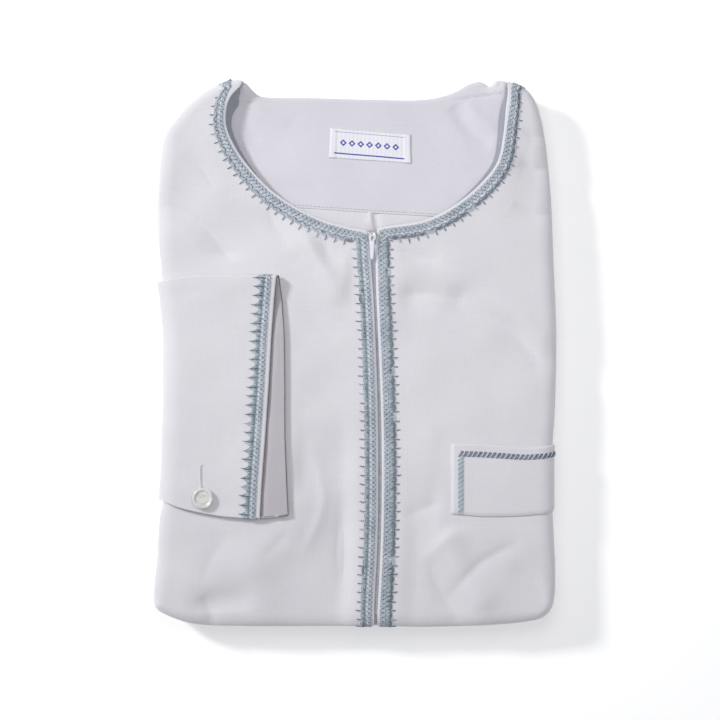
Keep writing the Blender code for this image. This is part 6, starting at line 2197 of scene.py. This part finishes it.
# The braids' materials, in the order of GROUND, DENSE, DARK and PALE
BRAIDS = [BRAID_GROUND, BRAID_DENSE, BRAID_DARK, BRAID_PALE]
THREAD_WHITE = thread_material("white_thread", (240, 240, 246), (218, 218, 228))
SEAM_SHADE = thread_material("seam_shade", (190, 189, 198), (166, 165, 175))
# A grey-brown thread colour for the cord inside the sleeve's mouth: painted shadow
PAINTED_MOUTH_SHADOW = thread_material("painted_mouth_shadow", (134, 126, 131), (108, 101, 107))
# The slit is a grey cord: painted shade in the cut
SLIT_PAINTED_SHADE = plain_material("slit", (204, 202, 209), (186, 185, 192), 0.9, 300.0)
PEARL = pearl_material()
METAL = metal_material()
# The coil's grey is painted shade, for the chain deep in the gap between the fronts
NYLON_IN_PAINTED_SHADE = plain_material("nylon", (192, 195, 203), (172, 175, 184), 0.4, 400.0)
ENAMEL = plain_material("enamel", (238, 241, 248), (226, 230, 240), 0.3, 150.0)
FLOOR = floor_material()


# ---------------------------------------------------------------- stage

CAMERA_PLACE = (2.55, -4.95)
CLOTH_LEVEL = 18.0
# How wide the picture is at the cloth's level
FIELD = 432.0
LENS = 100.0
SENSOR = 36.0
FLOOR_HALF = 1.6
WORLD_COLOUR = (0.96, 0.97, 1.0, 1.0)
WORLD_STRENGTH = 0.405
# Round lamps in metres: name, place, size, power, aim
LAMPS = (
    ("key", (-1.8, 1.05, 1.2), 0.36, 35.0, (0.0, 0.0, 0.0)),
    ("near", (0.04, 0.09, 0.44), 0.3, 0.5, (0.04, 0.09, 0.0)),
    ("fill", (0.6, -0.2, 1.5), 1.2, 1.0, (0.0, 0.0, 0.0)),
)


def lamp(name, place, size, power, aim):
    data = bpy.data.lights.new(name, "AREA")
    data.shape = "DISK"
    data.size = size
    data.energy = power
    light = bpy.data.objects.new(name, data)
    light.location = place
    light.rotation_euler = (Vector(aim) - Vector(place)).to_track_quat("-Z", "Y").to_euler()
    bpy.context.scene.collection.objects.link(light)


def floor():
    """The ground under the garment, which isn't part of the garment."""
    mesh = bpy.data.meshes.new("floor")
    corners = [(x * FLOOR_HALF, y * FLOOR_HALF, 0.0) for x, y in ((-1, -1), (1, -1), (1, 1), (-1, 1))]
    mesh.from_pydata(corners, [], [(0, 1, 2, 3)])
    mesh.materials.append(FLOOR)
    obj = bpy.data.objects.new("floor", mesh)
    bpy.context.scene.collection.objects.link(obj)


def camera():
    """A camera straight above, as the photo's."""
    data = bpy.data.cameras.new("overhead")
    data.lens = LENS
    data.sensor_width = SENSOR
    obj = bpy.data.objects.new("overhead", data)
    distance = FIELD * LENS / SENSOR
    obj.location = (CAMERA_PLACE[0] * MM, CAMERA_PLACE[1] * MM, (CLOTH_LEVEL + distance) * MM)
    bpy.context.scene.collection.objects.link(obj)
    bpy.context.scene.camera = obj


def world():
    made = bpy.data.worlds.new("pale_room")
    made.use_nodes = True
    background = made.node_tree.nodes["Background"]
    background.inputs["Color"].default_value = WORLD_COLOUR
    background.inputs["Strength"].default_value = WORLD_STRENGTH
    bpy.context.scene.world = made


# ---------------------------------------------------------------- all the pieces


def braid_mitre(side, above):
    """The cut between the zip's braid and the neck's, with the way to the one above or below it."""
    line = mitre_line(side)[0]
    way = side * np.array([-line[1], line[0]])
    return Mitre(NECKLINE[side][0], way if above else -way)


PLACKET_PITCH = 5.4
NECK_PITCH = 5.45
CUFF_PITCH = 5.45
# The share of the cords round the scallops that are dark
DARK_SHARES = {"left": 0.12, "right": 0.9, "cuff": 0.6}
FIRST_BRAID_SEED = 41
CUFF_SEED = 51


def braids():
    """The wide braids, by the side of the front they lie on, and the cuff's."""
    made = {-1: [], 1: []}
    seed = FIRST_BRAID_SEED
    parts = (("placket", placket_ribbon, PLACKET_PITCH), ("neck", neck_ribbon, NECK_PITCH))
    for side, word in SIDE_WORD.items():
        for part, ribbon, pitch in parts:
            at_neck = part == "neck"
            mitre, dark = braid_mitre(side, at_neck), DARK_SHARES[word]
            threads = braid_threads(ribbon(side), pitch, seed, mitre, dark, open_band=at_neck)
            piece = threads.piece(f"trim_{part}_{word}", BRAIDS)
            made[side].append(piece)
            seed += 1
            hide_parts(f"trim_{part}_{word}")
    ribbon, dark = cuff_ribbon(), DARK_SHARES["cuff"]
    threads = braid_threads(ribbon, CUFF_PITCH, CUFF_SEED, None, dark, long_roots=True)
    piece = threads.piece("trim_cuff", BRAIDS)
    made["cuff"] = piece
    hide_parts("trim_cuff")
    return made


floor()
camera()
world()
bpy.context.scene.view_settings.view_transform = "Standard"
for settings in LAMPS:
    lamp(*settings)

trims = braids()
layers = folded_layers()
yoke = back_yoke()
label = neck_label()
yoke_sewing()
back_panel()
zip_pieces = zip_tapes()
zip_chain()
zip_slider()
zip_pull()
for front_side in (-1, 1):
    front = front_panel(front_side)
    neck_facing(front_side)
cuff = sleeve()
button = cuff_button()
on_cuff = [button, buttonhole(), cuff_mouth_shadow(), trims["cuff"]]
pocket_welt()
trim_pocket()
